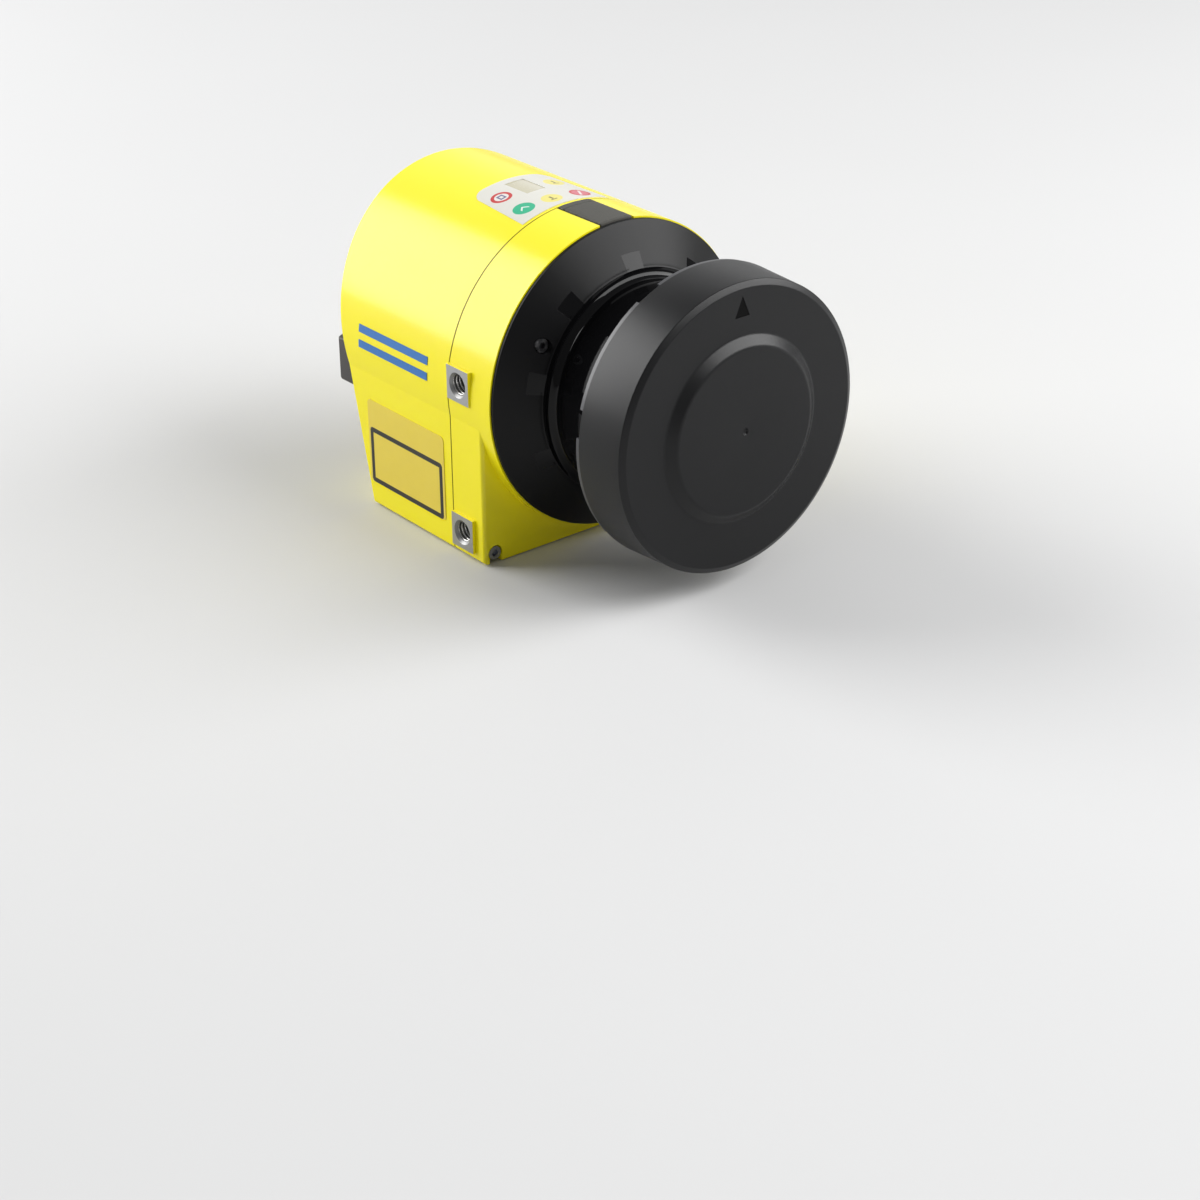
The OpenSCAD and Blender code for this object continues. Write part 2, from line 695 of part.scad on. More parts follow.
module laser_barrel() color([0.72, 0.6, 0.3]) difference() {
    bar_y(barrel_r, tube_front - 0.7, tube_end - 14);
    bar_y(barrel_r - 2, tube_front - 1, tube_front + 6);
}

module receiver_board() color([0.05, 0.3, 0.15]) bar_y(tube_out - 1, tube_end, tube_end + board_t);

module photodiode() color([0.15, 0.15, 0.16]) bar_y(3, tube_end - 2.5, tube_end);

sensor_board_t = 1;
module sensor_ring() color([0.05, 0.3, 0.15]) difference() {
    tube_y(land_in - 0.5, root_r + 0.5, ring_front - sensor_board_t, ring_front);
    at_cover_screws() bar_y(cover_screw_r + 1.8, -10, 10);
}

module sensor_lamps() color([0.9, 0.9, 0.85]) for (i = [-3:3]) at_angle(i * patch_step, root_r + 2.3)
    span([-1.5, cone_y_at(root_r + 2.3) + cover_t + 1.9, -1.5], [1.5, ring_front - sensor_board_t, 1.5]);

flex_r = (tube_out + waist_r - cover_t) / 2;
module head_flex() color([0.6, 0.4, 0.1])
    span([-5, -neck_len + 1.5, -flex_r - 0.2], [5, web_back, -flex_r + 0.2]);

// ---- Electronics --------------------------------------------------------

board_gap = 1.5;
// A board that follows the inside of the body, from the pads up to z = top
module body_board(y, top) slab_y(y, y + board_t) difference() {
    body_outline(-wall - board_gap);
    translate([-big / 2, top]) square(big);
    translate([-big / 2, pad_top + 1 - big]) square(big);
}

module main_board() color([0.05, 0.32, 0.16]) body_board(main_y, display_z - 5);

module power_board() color([0.05, 0.32, 0.16]) body_board(power_y, plug_high + 5);

module board_spacers() color([0.8, 0.75, 0.5]) for (x = [-1, 1], z = [-1, 1])
    translate([x * spacer_xy, 0, z * spacer_xy]) {
        bar_y(spacer_r, bench_back, main_y);
        bar_y(spacer_r, main_y + board_t, power_y);
    }

link_half = spacer_xy - spacer_r - 6;
module board_link() color([0.12, 0.12, 0.12])
    span([-link_half, main_y + board_t, pad_top + 7], [link_half, power_y, pad_top + 13]);

module display_board() color([0.05, 0.32, 0.16])
    translate([display_x, 0, 0]) span([-17, film_front, display_z], [17, film_back + 1.5, display_z + board_t]);

module digit_display() color([0.85, 0.82, 0.72]) window_block(1.4, display_z + board_t, roof - 1);

module display_window() color([0.85, 0.82, 0.7]) intersection() {
    bar_y(body_r, rear_start, base_y);
    window_block(-fit, roof - 1, body_r + 1);
}

module status_lamps() color([0.9, 0.9, 0.85]) intersection() {
    bar_y(body_r, rear_start, base_y);
    for (lamp = lamps) translate([lamp[0], lamp[1], display_z + board_t]) cylinder(r = lamp_r, h = 20);
}

// A printed film on the round side: an outline in the XY plane, seen from above
module film_on_top(t) intersection() {
    tube_y(body_r + t, body_r, rear_start, base_y);
    linear_extrude(body_r + 2) children();
}

module film_outline() {
    corner = 5;
    top_half = film_half - film_taper;
    polygon([
        [-film_half, film_front], [film_half, film_front],
        [top_half, film_back - corner], [-top_half, film_back - corner]]);
    translate([-top_half + corner, film_back - corner - 1]) square([2 * (top_half - corner), corner + 1]);
    for (side = [-1, 1]) translate([side * (top_half - corner), film_back - corner]) circle(corner);
}

module display_film() color([0.93, 0.92, 0.86]) difference() {
    film_on_top(film_t) translate([display_x, 0]) film_outline();
    window_block(0, 0, body_r + 2);
}

label_front = rear_start + 4;
label_back = rear_back_pad_y + 9.2;
label_low = skirt_z + 8.3;
label_high = crease_z - 9.1;
module side_label() color([0.97, 0.85, 0.1]) translate([-flat_half - film_t, 0, 0]) rotate([90, 0, 90])
    linear_extrude(film_t) translate([(label_front + label_back) / 2, (label_low + label_high) / 2])
        soft_rect(label_back - label_front, label_high - label_low, 1.5);

// Two plain stripes on the round side, seen from the left
module side_mark() color([0.1, 0.4, 0.8]) intersection() {
    tube_y(body_r + film_t, body_r, rear_start, base_y);
    for (z = [0.6, 5.8]) span([-body_r - 1, seam_y + 11, z], [0, base_y - 9, z + 2.6]);
}

// ---- Configuration socket -----------------------------------------------

hinge_y = front_end - flap_root;

module config_socket() color([0.15, 0.15, 0.16]) translate([0, socket_y, 0]) {
    difference() {
        union() {
            translate([0, 0, channel_z - 12]) cylinder(r = socket_r, h = 11.9);
            translate([0, 0, channel_z - 8]) cylinder(r = socket_r + 1.3, h = 2);
        }
        translate([0, 0, channel_z - 8]) cylinder(r = socket_r - 1.7, h = 9);
    }
    for (angle = [45:90:315]) rotate([0, 0, angle]) translate([2.2, 0, channel_z - 8.5]) cylinder(r = 0.5, h = 3.5);
}

module rubber_strip(y0, y1, low) intersection() {
    bar_y(body_r + flap_proud, y0, y1, $fn = 288);
    span([-flap_w / 2, y0, low], [flap_w / 2, y1, body_r + 2]);
}

module config_flap() color([0.07, 0.07, 0.07])
    rubber_strip(ring_front + flap_gap, hinge_y - fit, channel_z + flap_gap);

module config_flap_root() color([0.07, 0.07, 0.07])
    rubber_strip(hinge_y + fit, front_end, channel_z);

// ---- System plug --------------------------------------------------------

plug_half = body_r - plug_inset;
plug_high = sqrt(pow(body_r - 1.1, 2) - pow(plug_half, 2));
plug_screw_x = plug_half - plug_screw_in;
header_half = plug_half - 19;
header_h = 8;
header_z = (plug_high - plug_low) / 2 + 3.6;
plug_inside = plug_end - plug_wall;
plug_board_y = plug_inside - 0.9 - board_t;
header_end = plug_board_y - 1.2;
gland_y = (base_y - plug_low * slope + plug_seal_t + plug_end) / 2 + 0.2;
module header_block(g, y0, y1)
    span([-header_half - g, y0, header_z - header_h / 2 - g], [header_half + g, y1, header_z + header_h / 2 + g]);
module header_opening() header_block(0.6, power_y, plug_end);

module system_header() color([0.12, 0.12, 0.13]) header_block(0, power_y + board_t, header_end);

// The plug's block, grown by g, between the base and its end face
module plug_block(g, y1, lift) intersection() {
    translate([0, 0, (plug_high - plug_low) / 2]) slab_y(base_y - 20, y1)
        soft_rect(2 * (plug_half + g), plug_high + plug_low + 2 * g, 3);
    behind_base(-lift);
}

module at_plug_screws() for (side = [-1, 1]) translate([side * plug_screw_x, 0, 2]) children();

module plug_housing() color([0.09, 0.09, 0.095]) difference() {
    union() {
        difference() {
            plug_block(0, plug_end, plug_seal_t);
            plug_block(-plug_wall, plug_inside, 0);
        }
        intersection() {
            plug_block(-1, plug_end - 1, plug_seal_t);
            at_plug_screws() bar_y(plug_screw_r + 2.4, base_y - 10, plug_end);
        }
        for (side = [-1, 1], z = [plug_board_low + 3, plug_board_high - 3])
            translate([side * (plug_board_half - 5), 0, z]) bar_y(2, plug_inside - 0.9, plug_inside + 0.5);
    }
    at_plug_screws() {
        bar_y(plug_screw_r + 0.1, base_y - 10, plug_end + 1);
        bar_y(plug_screw_r + 1.7, plug_end - 4.4, plug_end + 1);
    }
    translate([gland_x, gland_y, -plug_low - 1]) cylinder(r = gland_r + fit, h = plug_wall + 3);
}

module plug_seal() color([0.2, 0.2, 0.2]) difference() {
    plug_block(-0.8, plug_end, 0);
    plug_block(-2.2, plug_end + 1, -1);
    behind_base(-plug_seal_t);
}

plug_board_half = header_half + 7;
plug_board_low = -plug_low + plug_wall + 2.2;
plug_board_high = header_z + header_h / 2 + 4;
module plug_board() color([0.05, 0.32, 0.16])
    span([-plug_board_half, plug_board_y, plug_board_low], [plug_board_half, plug_board_y + board_t, plug_board_high]);

module plug_socket() color([0.2, 0.2, 0.21]) difference() {
    header_block(2, header_end - 1.4, plug_board_y);
    header_block(fit, header_end - 2, header_end);
}

terminal_high = header_z - header_h / 2 - 3;
module terminal_block() color([0.1, 0.45, 0.25]) difference() {
    span([-header_half + 2, plug_board_y - 5.5, plug_board_low + 0.5], [header_half - 2, plug_board_y, terminal_high]);
    for (i = [-4:4]) translate([i * 5, 0, (plug_board_low + terminal_high) / 2]) bar_y(1.5, plug_board_y - 6, plug_board_y - 2);
}

module plug_screws() color([0.75, 0.75, 0.77]) at_plug_screws() translate([0, plug_end - 4.4, 0])
    scale([1, -1, 1]) socket_screw(plug_screw_r, plug_screw_r + 1.5, 3.6, plug_end - 4.4 - (base_y - wall - 6));

module gland_body() color([0.14, 0.14, 0.15]) translate([gland_x, gland_y, -plug_low]) difference() {
    union() {
        translate([0, 0, -9]) cylinder(r = gland_r, h = 9 + plug_wall);
        translate([0, 0, -4]) cylinder(r = gland_r * 1.2 / cos(30), h = 4, $fn = 6);
    }
    translate([0, 0, -10]) cylinder(r = gland_r - 2.2, h = 20);
}

module gland_nut() color([0.16, 0.16, 0.17]) translate([gland_x, gland_y, -plug_low - 14.5]) difference() {
    union() {
        translate([0, 0, 3]) cylinder(r = gland_r * 1.2 / cos(30), h = 7, $fn = 6);
        cylinder(r1 = gland_r * 0.9, r2 = gland_r * 1.2, h = 3);
    }
    translate([0, 0, 5]) cylinder(r = gland_r + fit, h = 10);
    translate([0, 0, -1]) cylinder(r = gland_r - 2.2, h = 10);
}

module gland_blank() color([0.3, 0.3, 0.3]) translate([gland_x, gland_y, -plug_low - 15.2])
    cylinder(r = gland_r - 2.2 - fit, h = 15);

// ---- The scanner, lying on its back ---------------------------------------

module placed() translate([0, -mid_y, axis_h]) children();

placed() rear_housing();
placed() front_housing();
placed() housing_seal();
placed() housing_screws();
placed() optics_cover();
placed() cover_seal();
placed() cover_screws();
placed() head_plate();
placed() head_cap();
placed() motor_stator();
placed() motor_board();
placed() encoder_sensor();
placed() motor_bearings();
placed() rotor_shaft();
placed() motor_bell();
placed() encoder_disc();
placed() mirror_carrier();
placed() scan_mirror();
placed() lens_tube();
placed() bench_screws();
placed() receiving_lens();
placed() lens_ring();
placed() laser_holder();
placed() laser_barrel();
placed() receiver_board();
placed() photodiode();
placed() sensor_ring();
placed() sensor_lamps();
placed() head_flex();
placed() main_board();
placed() power_board();
placed() board_spacers();
placed() board_link();
placed() display_board();
placed() digit_display();
placed() display_window();
placed() status_lamps();
placed() display_film();
placed() side_label();
placed() side_mark();
placed() config_socket();
placed() config_flap();
placed() config_flap_root();
placed() system_header();
placed() plug_housing();
placed() plug_seal();
placed() plug_board();
placed() plug_socket();
placed() terminal_block();
placed() plug_screws();
placed() gland_body();
placed() gland_nut();
placed() gland_blank();
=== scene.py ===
"""Safety laser scanner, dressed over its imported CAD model.

Everything is in metres in the CAD frame; the sizes that a section names are in millimetres.
"""
import json
import math

import bmesh
import bpy
import numpy as np
from mathutils import Matrix, Vector


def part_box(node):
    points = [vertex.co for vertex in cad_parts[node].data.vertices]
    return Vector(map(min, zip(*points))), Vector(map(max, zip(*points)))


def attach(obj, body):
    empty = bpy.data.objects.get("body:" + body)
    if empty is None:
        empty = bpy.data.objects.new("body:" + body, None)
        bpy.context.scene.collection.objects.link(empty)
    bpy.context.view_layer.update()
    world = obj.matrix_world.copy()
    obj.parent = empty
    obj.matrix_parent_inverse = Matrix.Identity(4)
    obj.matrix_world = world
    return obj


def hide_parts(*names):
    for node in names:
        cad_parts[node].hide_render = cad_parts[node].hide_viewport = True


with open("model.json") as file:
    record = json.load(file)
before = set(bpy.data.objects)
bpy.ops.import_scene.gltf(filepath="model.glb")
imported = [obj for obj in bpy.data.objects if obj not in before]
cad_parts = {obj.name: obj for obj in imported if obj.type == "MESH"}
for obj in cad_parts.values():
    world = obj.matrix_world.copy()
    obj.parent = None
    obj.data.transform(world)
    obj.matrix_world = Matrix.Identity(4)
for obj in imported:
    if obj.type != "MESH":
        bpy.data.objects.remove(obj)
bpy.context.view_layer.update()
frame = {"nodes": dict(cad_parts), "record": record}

# ---- Viewpoint ---------------------------------------------------------------------
# The scanner lies on its flat back. It is seen from the front left and from above,
# through a long lens.
view_azimuth, view_height, view_roll = -38.87, 27.42, -0.49
viewpoint_data = bpy.data.cameras.new("viewpoint")
viewpoint_data.lens = 78
viewpoint_data.sensor_width = 36
viewpoint = bpy.data.objects.new("viewpoint", viewpoint_data)
viewpoint.matrix_world = (
    Matrix.Translation((-0.4859, -0.6081, 0.3714))
    @ Matrix.Rotation(math.radians(view_azimuth), 4, "Z")
    @ Matrix.Rotation(math.radians(90 - view_height), 4, "X")
    @ Matrix.Rotation(math.radians(view_roll), 4, "Z")
)
bpy.context.scene.collection.objects.link(viewpoint)
bpy.context.scene.camera = viewpoint


# ---- Castings ----------------------------------------------------------------------
# Two die-cast aluminium shells, coated lemon yellow before machining. The faces of the
# mounting pads and their threads are cut afterwards, so they are bare metal. The rear
# shell carries the sloping base.
class Wire:
    """A shader socket that can stand in a sum: every operator adds its Math node."""

    def __init__(self, finish, socket):
        self.finish = finish
        self.socket = socket

    def maths(self, operation, *terms):
        return self.finish.node("ShaderNodeMath", {"operation": operation}, dict(enumerate(terms)))

    def __add__(self, other):
        return self.maths("ADD", self, other)

    def __sub__(self, other):
        return self.maths("SUBTRACT", self, other)

    def __rsub__(self, other):
        return self.maths("SUBTRACT", other, self)

    def __mul__(self, other):
        return self.maths("MULTIPLY", self, other)

    def __pow__(self, other):
        return self.maths("POWER", self, other)

    def __gt__(self, other):
        return self.maths("GREATER_THAN", self, other)

    def __lt__(self, other):
        return self.maths("LESS_THAN", self, other)

    def __and__(self, other):
        return self.maths("MINIMUM", self, other)

    def __or__(self, other):
        return self.maths("MAXIMUM", self, other)

    def __abs__(self):
        return self.maths("ABSOLUTE", self)

    __radd__ = __add__
    __rmul__ = __mul__


class Finish:
    """A material that is built node by node, with its place on the object in millimetres."""

    def __init__(self, name, **surface):
        self.material = bpy.data.materials.new(name)
        self.material.use_nodes = True
        self.shader = self.material.node_tree.nodes["Principled BSDF"]
        metres = self.node("ShaderNodeTexCoord", out="Object")
        self.place = self.node(
            "ShaderNodeVectorMath", {"operation": "SCALE"}, {0: metres, "Scale": 1000.0})
        axes = self.node("ShaderNodeSeparateXYZ", sockets={0: self.place}).socket.node.outputs
        self.x, self.y, self.z = (Wire(self, axis) for axis in axes)
        self.set(**surface)

    def feed(self, node, socket, value):
        """Sets a socket's own value, or links a wire to it."""
        if isinstance(value, Wire):
            self.material.node_tree.links.new(value.socket, node.inputs[socket])
        elif isinstance(node.inputs[socket].default_value, (int, float)):
            node.inputs[socket].default_value = value
        else:
            size = len(node.inputs[socket].default_value)
            node.inputs[socket].default_value = (tuple(value) + (1.0,))[:size]

    def node(self, kind, settings=None, sockets=None, out=0):
        """Adds a node: its settings first, then its sockets' values or wires. Gives one output as a
        wire."""
        made = self.material.node_tree.nodes.new(kind)
        for name, value in (settings or {}).items():
            setattr(made, name, value)
        for name, value in (sockets or {}).items():
            self.feed(made, name, value)
        return Wire(self, made.outputs[out])

    def noise(self, scale, detail=2.0, roughness=0.5, stretch=None):
        """Smooth noise from 0 to 1, with scale features in a millimetre. A stretch counts the features
        along x, y and z."""
        place = self.place
        if stretch:
            place = self.node("ShaderNodeVectorMath", {"operation": "MULTIPLY"}, {0: place, 1: stretch})
        return self.node(
            "ShaderNodeTexNoise", {"noise_dimensions": "3D"},
            {"Vector": place, "Scale": scale, "Detail": detail, "Roughness": roughness},
        )

    def step(self, value, low, high):
        """0 below low and 1 above high, with a smooth change between; low may be the larger one."""
        if low > high:
            return 1 - self.step(value, high, low)
        return self.node(
            "ShaderNodeMapRange", {"interpolation_type": "SMOOTHSTEP"},
            {"Value": value, "From Min": low, "From Max": high},
        )

    def mix(self, share, first, second):
        """The colour first where share is 0, and second where it is 1."""
        return self.node("ShaderNodeMix", {"data_type": "RGBA"}, {0: share, 6: first, 7: second}, out=2)

    def bump(self, height, depth):
        """A relief whose height from 0 to 1 stands for depth millimetres."""
        return self.node(
            "ShaderNodeBump", sockets={"Height": height, "Distance": depth / 1000, "Strength": 1.0})

    def away(self, u, v, u0, v0):
        """Distance from the point (u0, v0) in the plane of u and v."""
        return ((u - u0) ** 2.0 + (v - v0) ** 2.0) ** 0.5

    def set(self, **surface):
        """Sets the surface shader's sockets by name, with _ for each space."""
        for socket, value in surface.items():
            self.feed(self.shader, socket.replace("_", " ").title().replace("Ior", "IOR"), value)
        return self

    def cover(self, *names):
        """Gives this finish to CAD nodes."""
        for name in names:
            materials = frame["nodes"][name].data.materials
            materials.clear()
            materials.append(self.material)
        return self


def edges(node):
    """A CAD node's lowest and highest corner in millimetres."""
    return [np.array(corner) * 1000 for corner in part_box(node)]


mounts = {mount["name"]: mount for mount in frame["record"]["mounts"]}
casting_high = edges("front_housing")[1]
axis_z = 55.0
pad_face = casting_high[0]
pad_mount = mounts["right_threads"]
pad_at_y, pad_mid_z = pad_mount["pos_m"][1] * 1000, pad_mount["pos_m"][2] * 1000
pad_at_z = [pad_mid_z + side * pad_mount["dims"]["spacing_y_mm"] / 2 for side in (-1, 1)]
back_mount = mounts["back_threads"]
back_at_x, back_mid_y = back_mount["dims"]["spacing_x_mm"] / 2, back_mount["pos_m"][1] * 1000
back_at_y = [back_mid_y + side * back_mount["dims"]["spacing_y_mm"] / 2 for side in (-1, 1)]
core_r, thread_depth, mouth_r = pad_mount["dims"]["hole_r_mm"], 8.0, 4.25
bore_end = thread_depth + 0.5
joint_y = casting_high[1] + 0.2

paint = Finish("lemon_yellow_paint", specular_ior_level=0.36, coat_weight=0.08, coat_roughness=0.1)
outward = abs(paint.x)
faced = paint.step(outward, pad_face - 0.06, pad_face - 0.02) | paint.step(paint.z, 0.06, 0.02)
tapped = paint.step(outward, pad_face, pad_face + 1)
for at_z in pad_at_z:
    bore = paint.away(paint.y, paint.z, pad_at_y, at_z) < mouth_r
    tapped = tapped | (bore & (outward > pad_face - bore_end) & (outward < pad_face - 0.03))
for at_y in back_at_y:
    bore = paint.away(outward, paint.y, back_at_x, at_y) < mouth_r
    tapped = tapped | (bore & (paint.z < bore_end) & (paint.z > 0.03))
bare = faced | tapped
cutter_marks = paint.noise(1.6, 3.0, stretch=(1.0, 6.0, 1.0))
peel = paint.noise(0.5, 1.0)
lemon = paint.mix(paint.noise(0.03), (0.89, 0.775, 0.004), (0.93, 0.82, 0.008))
# painted shade: the yellow darkens in a narrow band along the joint between the castings
painted_joint_shade = paint.step(abs(paint.y - joint_y), 0.38, 0.24) * 0.75
lemon = paint.mix(painted_joint_shade, lemon, (0.30, 0.25, 0.01))
metal = paint.mix(cutter_marks, (0.34, 0.345, 0.355), (0.50, 0.505, 0.515))
# painted shade: the bare metal is darker inside the tapped bores
metal = paint.mix(tapped * 0.7, metal, (0.20, 0.198, 0.19))
gloss = 0.25 + 0.03 * paint.noise(0.9, 2.0)
machined = 0.26 + 0.14 * tapped + 0.22 * cutter_marks
paint.set(
    base_color=paint.mix(bare, lemon, metal),
    roughness=(1 - bare) * gloss + bare * machined,
    metallic=bare,
    normal=paint.bump(peel * (1 - bare) * 0.3 + cutter_marks * bare, 0.012),
)
paint.cover("rear_housing", "front_housing")


# ---- Threads -----------------------------------------------------------------------
# M8 threads, tapped in the pads on both sides and on the back. Bright aluminium, with
# four turns in five millimetres and the crests worn slightly round.
def add_piece(name, points, faces, body, slot, finish, crease=30.0):
    """Makes a piece from points in millimetres. Doubles are merged, faces turned outwards, and the
    surface shaded round except over edges sharper than crease degrees."""
    mesh = bpy.data.meshes.new(name)
    mesh.from_pydata(np.asarray(points, float) / 1000, [], faces)
    tidy = bmesh.new()
    tidy.from_mesh(mesh)
    bmesh.ops.remove_doubles(tidy, verts=tidy.verts, dist=1e-6)
    bmesh.ops.dissolve_degenerate(tidy, edges=tidy.edges, dist=1e-6)
    bmesh.ops.recalc_face_normals(tidy, faces=tidy.faces)
    tidy.to_mesh(mesh)
    tidy.free()
    mesh.materials.append(finish.material)
    piece = bpy.data.objects.new(name, mesh)
    bpy.context.scene.collection.objects.link(piece)
    round_off(mesh, crease)
    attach(piece, body)
    return piece


def round_off(mesh, crease):
    """Shades a mesh round, except over edges sharper than crease degrees."""
    mesh.shade_smooth()
    mesh.set_sharp_from_angle(angle=math.radians(crease))


def web(rows, columns, rows_meet=False, columns_meet=False):
    """The four-cornered faces of a grid of points, row by row. Where its ends meet, the last row or
    column joins the first."""
    row = np.arange(rows if rows_meet else rows - 1)[:, None]
    column = np.arange(columns if columns_meet else columns - 1)[None, :]
    next_row, next_column = (row + 1) % rows, (column + 1) % columns
    corners = [row * columns + column, row * columns + next_column,
               next_row * columns + next_column, next_row * columns + column]
    return np.stack(np.broadcast_arrays(*corners), -1).reshape(-1, 4)


def thread_crest(core, depth, pitch, length, steps=40):
    """A closed ridge on a helix about +Z, from z = 0 down. Its centre line stands at core - depth / 2
    and falls one pitch a turn; the section is a flat oval, and it thins to nothing at both ends."""
    turns = length / pitch
    t = np.linspace(0, 1, int(turns * steps))[:, None]
    around = np.linspace(0, 2 * math.pi, 8, endpoint=False)[None, :]
    swell = np.minimum(1, 12 * np.minimum(t, 1 - t))
    radius = core - depth / 2 * swell * (1 + np.cos(around))
    angle = 2 * math.pi * turns * t + 0 * around
    height = -length * t + 0.3 * pitch * swell * np.sin(around)
    points = np.stack([radius * np.cos(angle), radius * np.sin(angle), height], -1)
    return points.reshape(-1, 3), web(points.shape[0], points.shape[1], columns_meet=True)


bright = Finish("bright_thread", metallic=1.0)
bright.set(
    base_color=bright.mix(bright.noise(1.5), (0.5, 0.49, 0.47), (0.72, 0.71, 0.69)),
    roughness=0.2 + 0.15 * bright.noise(4.0),
)
crest, crest_faces = thread_crest(core=core_r, depth=0.45, pitch=1.25, length=thread_depth - 0.9)
sink_depth = 0.8
crest[:, 2] -= sink_depth
places = [(Matrix.Rotation(math.radians(90 * side), 3, "Y"), (side * pad_face, pad_at_y, at_z))
          for side in (-1, 1) for at_z in pad_at_z]
places += [(Matrix.Rotation(math.pi, 3, "X"), (side * back_at_x, at_y, 0.0))
           for side in (-1, 1) for at_y in back_at_y]
threads = np.concatenate([crest @ np.array(turn).T + at for turn, at in places])
thread_faces = np.concatenate([crest_faces + i * len(crest) for i in range(len(places))])
add_piece("mounting_threads", threads, thread_faces, "scanner", "yellow_paint", bright, crease=60)

# ---- Seals -------------------------------------------------------------------------
# Black foam-rubber cords in the joint between the castings, under the optics cover and
# under the plug, squeezed flush when the screws are done up.
seal_rubber = Finish("seal_rubber", base_color=(0.016, 0.016, 0.016), specular_ior_level=0.35)
seal_rubber.set(
    roughness=0.7 + 0.2 * seal_rubber.noise(2.0),
    normal=seal_rubber.bump(seal_rubber.noise(6.0, 3.0), 0.03),
)
seal_rubber.cover("housing_seal", "cover_seal")

# ---- Screws ------------------------------------------------------------------------
# Socket-head screws: four plated ones through the castings, and black-oxide ones, three
# in the optics cover and two in the plug. The black is rubbed a little brighter.
black_steel = Finish("black_steel", metallic=0.85, specular_ior_level=0.5)
rub = black_steel.noise(0.5, 2.0)
black_steel.set(
    base_color=black_steel.mix(black_steel.step(rub, 0.35, 0.7), (0.09, 0.09, 0.095), (0.24, 0.24, 0.245)),
    roughness=0.3 + 0.2 * rub,
    normal=black_steel.bump(black_steel.noise(5.0), 0.01),
)
black_steel.cover("cover_screws", "plug_screws")

plated = Finish("zinc_plated_steel", metallic=0.9, specular_ior_level=0.5)
passivation = plated.noise(0.8, 2.0)
plated.set(
    base_color=plated.mix(passivation, (0.26, 0.27, 0.30), (0.40, 0.41, 0.43)),
    roughness=0.24 + 0.14 * passivation,
    normal=plated.bump(plated.noise(4.0), 0.01),
)
plated.cover("housing_screws")


# ---- Optics cover ------------------------------------------------------------------
# One moulding in black polycarbonate that only the laser's light can pass. The cone is
# textured satin; the waisted window and the seven patches over the dirt sensors are
# polished, and the patches lie a quarter of a millimetre deep.
def rounded(corners, steps=9):
    """A profile through (across, along, fillet) corners. Each corner is cut by the arc that touches
    both of its sides; the arc's centre lies on the bisector, fillet / sin(half the angle) away."""
    at = np.array([corner[:2] for corner in corners], float)
    fillet = np.array([corner[2] for corner in corners], float)[:, None]
    back, ahead = np.roll(at, 1, 0) - at, np.roll(at, -1, 0) - at
    back /= np.linalg.norm(back, axis=1, keepdims=True)
    ahead /= np.linalg.norm(ahead, axis=1, keepdims=True)
    half = np.arccos(np.clip((back * ahead).sum(1, keepdims=True), -1, 1)) / 2
    middle = back + ahead
    middle /= np.maximum(np.linalg.norm(middle, axis=1, keepdims=True), 1e-9)
    centre = at + middle * fillet / np.sin(half)
    first, last = at + back * fillet / np.tan(half) - centre, at + ahead * fillet / np.tan(half) - centre
    sweep = np.maximum(math.pi - 2 * half, 1e-6)
    t = np.linspace(0, 1, steps)[None, :, None]
    arc = np.sin((1 - t) * sweep[:, None]) * first[:, None] + np.sin(t * sweep[:, None]) * last[:, None]
    profile = (centre[:, None] + arc / np.sin(sweep)[:, None]).reshape(-1, 2)
    moved = np.linalg.norm(profile - np.roll(profile, 1, 0), axis=1) > 1e-4
    return profile[moved]


def turned(profile, angles):
    """A profile of (distance from the axis, y) turned about the scanner axis. An angle of 0 is the
    top and 90 degrees the right side: x = r sin(a), z = axis + r cos(a)."""
    a = np.radians(angles)[:, None]
    r, y = profile[None, :, 0], profile[None, :, 1]
    points = np.stack([r * np.sin(a), y + 0 * a, axis_z + r * np.cos(a)], -1)
    faces = web(len(angles), len(profile), rows_meet=True, columns_meet=True)
    return points, faces


def carve(piece, points, faces, crease=30.0):
    """Cuts a closed shape out of a piece for good, and shades what is left round again."""
    mesh = bpy.data.meshes.new("cutter")
    mesh.from_pydata(np.asarray(points, float) / 1000, [], faces)
    outwards = bmesh.new()
    outwards.from_mesh(mesh)
    bmesh.ops.recalc_face_normals(outwards, faces=outwards.faces)
    outwards.to_mesh(mesh)
    outwards.free()
    cutter = bpy.data.objects.new("cutter", mesh)
    bpy.context.scene.collection.objects.link(cutter)
    cut = piece.modifiers.new("cut", "BOOLEAN")
    cut.operation, cut.object, cut.solver = "DIFFERENCE", cutter, "EXACT"
    bpy.context.view_layer.update()
    whole = piece.data
    piece.data = bpy.data.meshes.new_from_object(piece.evaluated_get(bpy.context.evaluated_depsgraph_get()))
    piece.modifiers.clear()
    bpy.data.objects.remove(cutter)
    bpy.data.meshes.remove(whole)
    bpy.data.meshes.remove(mesh)
    round_off(piece.data, crease)


cover_low, cover_high = edges("optics_cover")
rim_r, rim_back, window_end = cover_high[0], cover_high[1], cover_low[1]
flange = rim_back - 1.2
root_r, waist_r, neck_top_r, cone_rise, cover_wall = 37.0, 34.0, 40.0, 8.1, 2.5
cone_end, waist_y, rim_in = flange - cone_rise, flange - 12.0, rim_r - 4.5
patch_pitch, patch_half, patch_in, patch_out, patch_depth = 270 / 7, 5.0, 37.7, 42.0, 0.25
notch_r, notch_at, patch_edge = 39.0, -3.4, 0.03

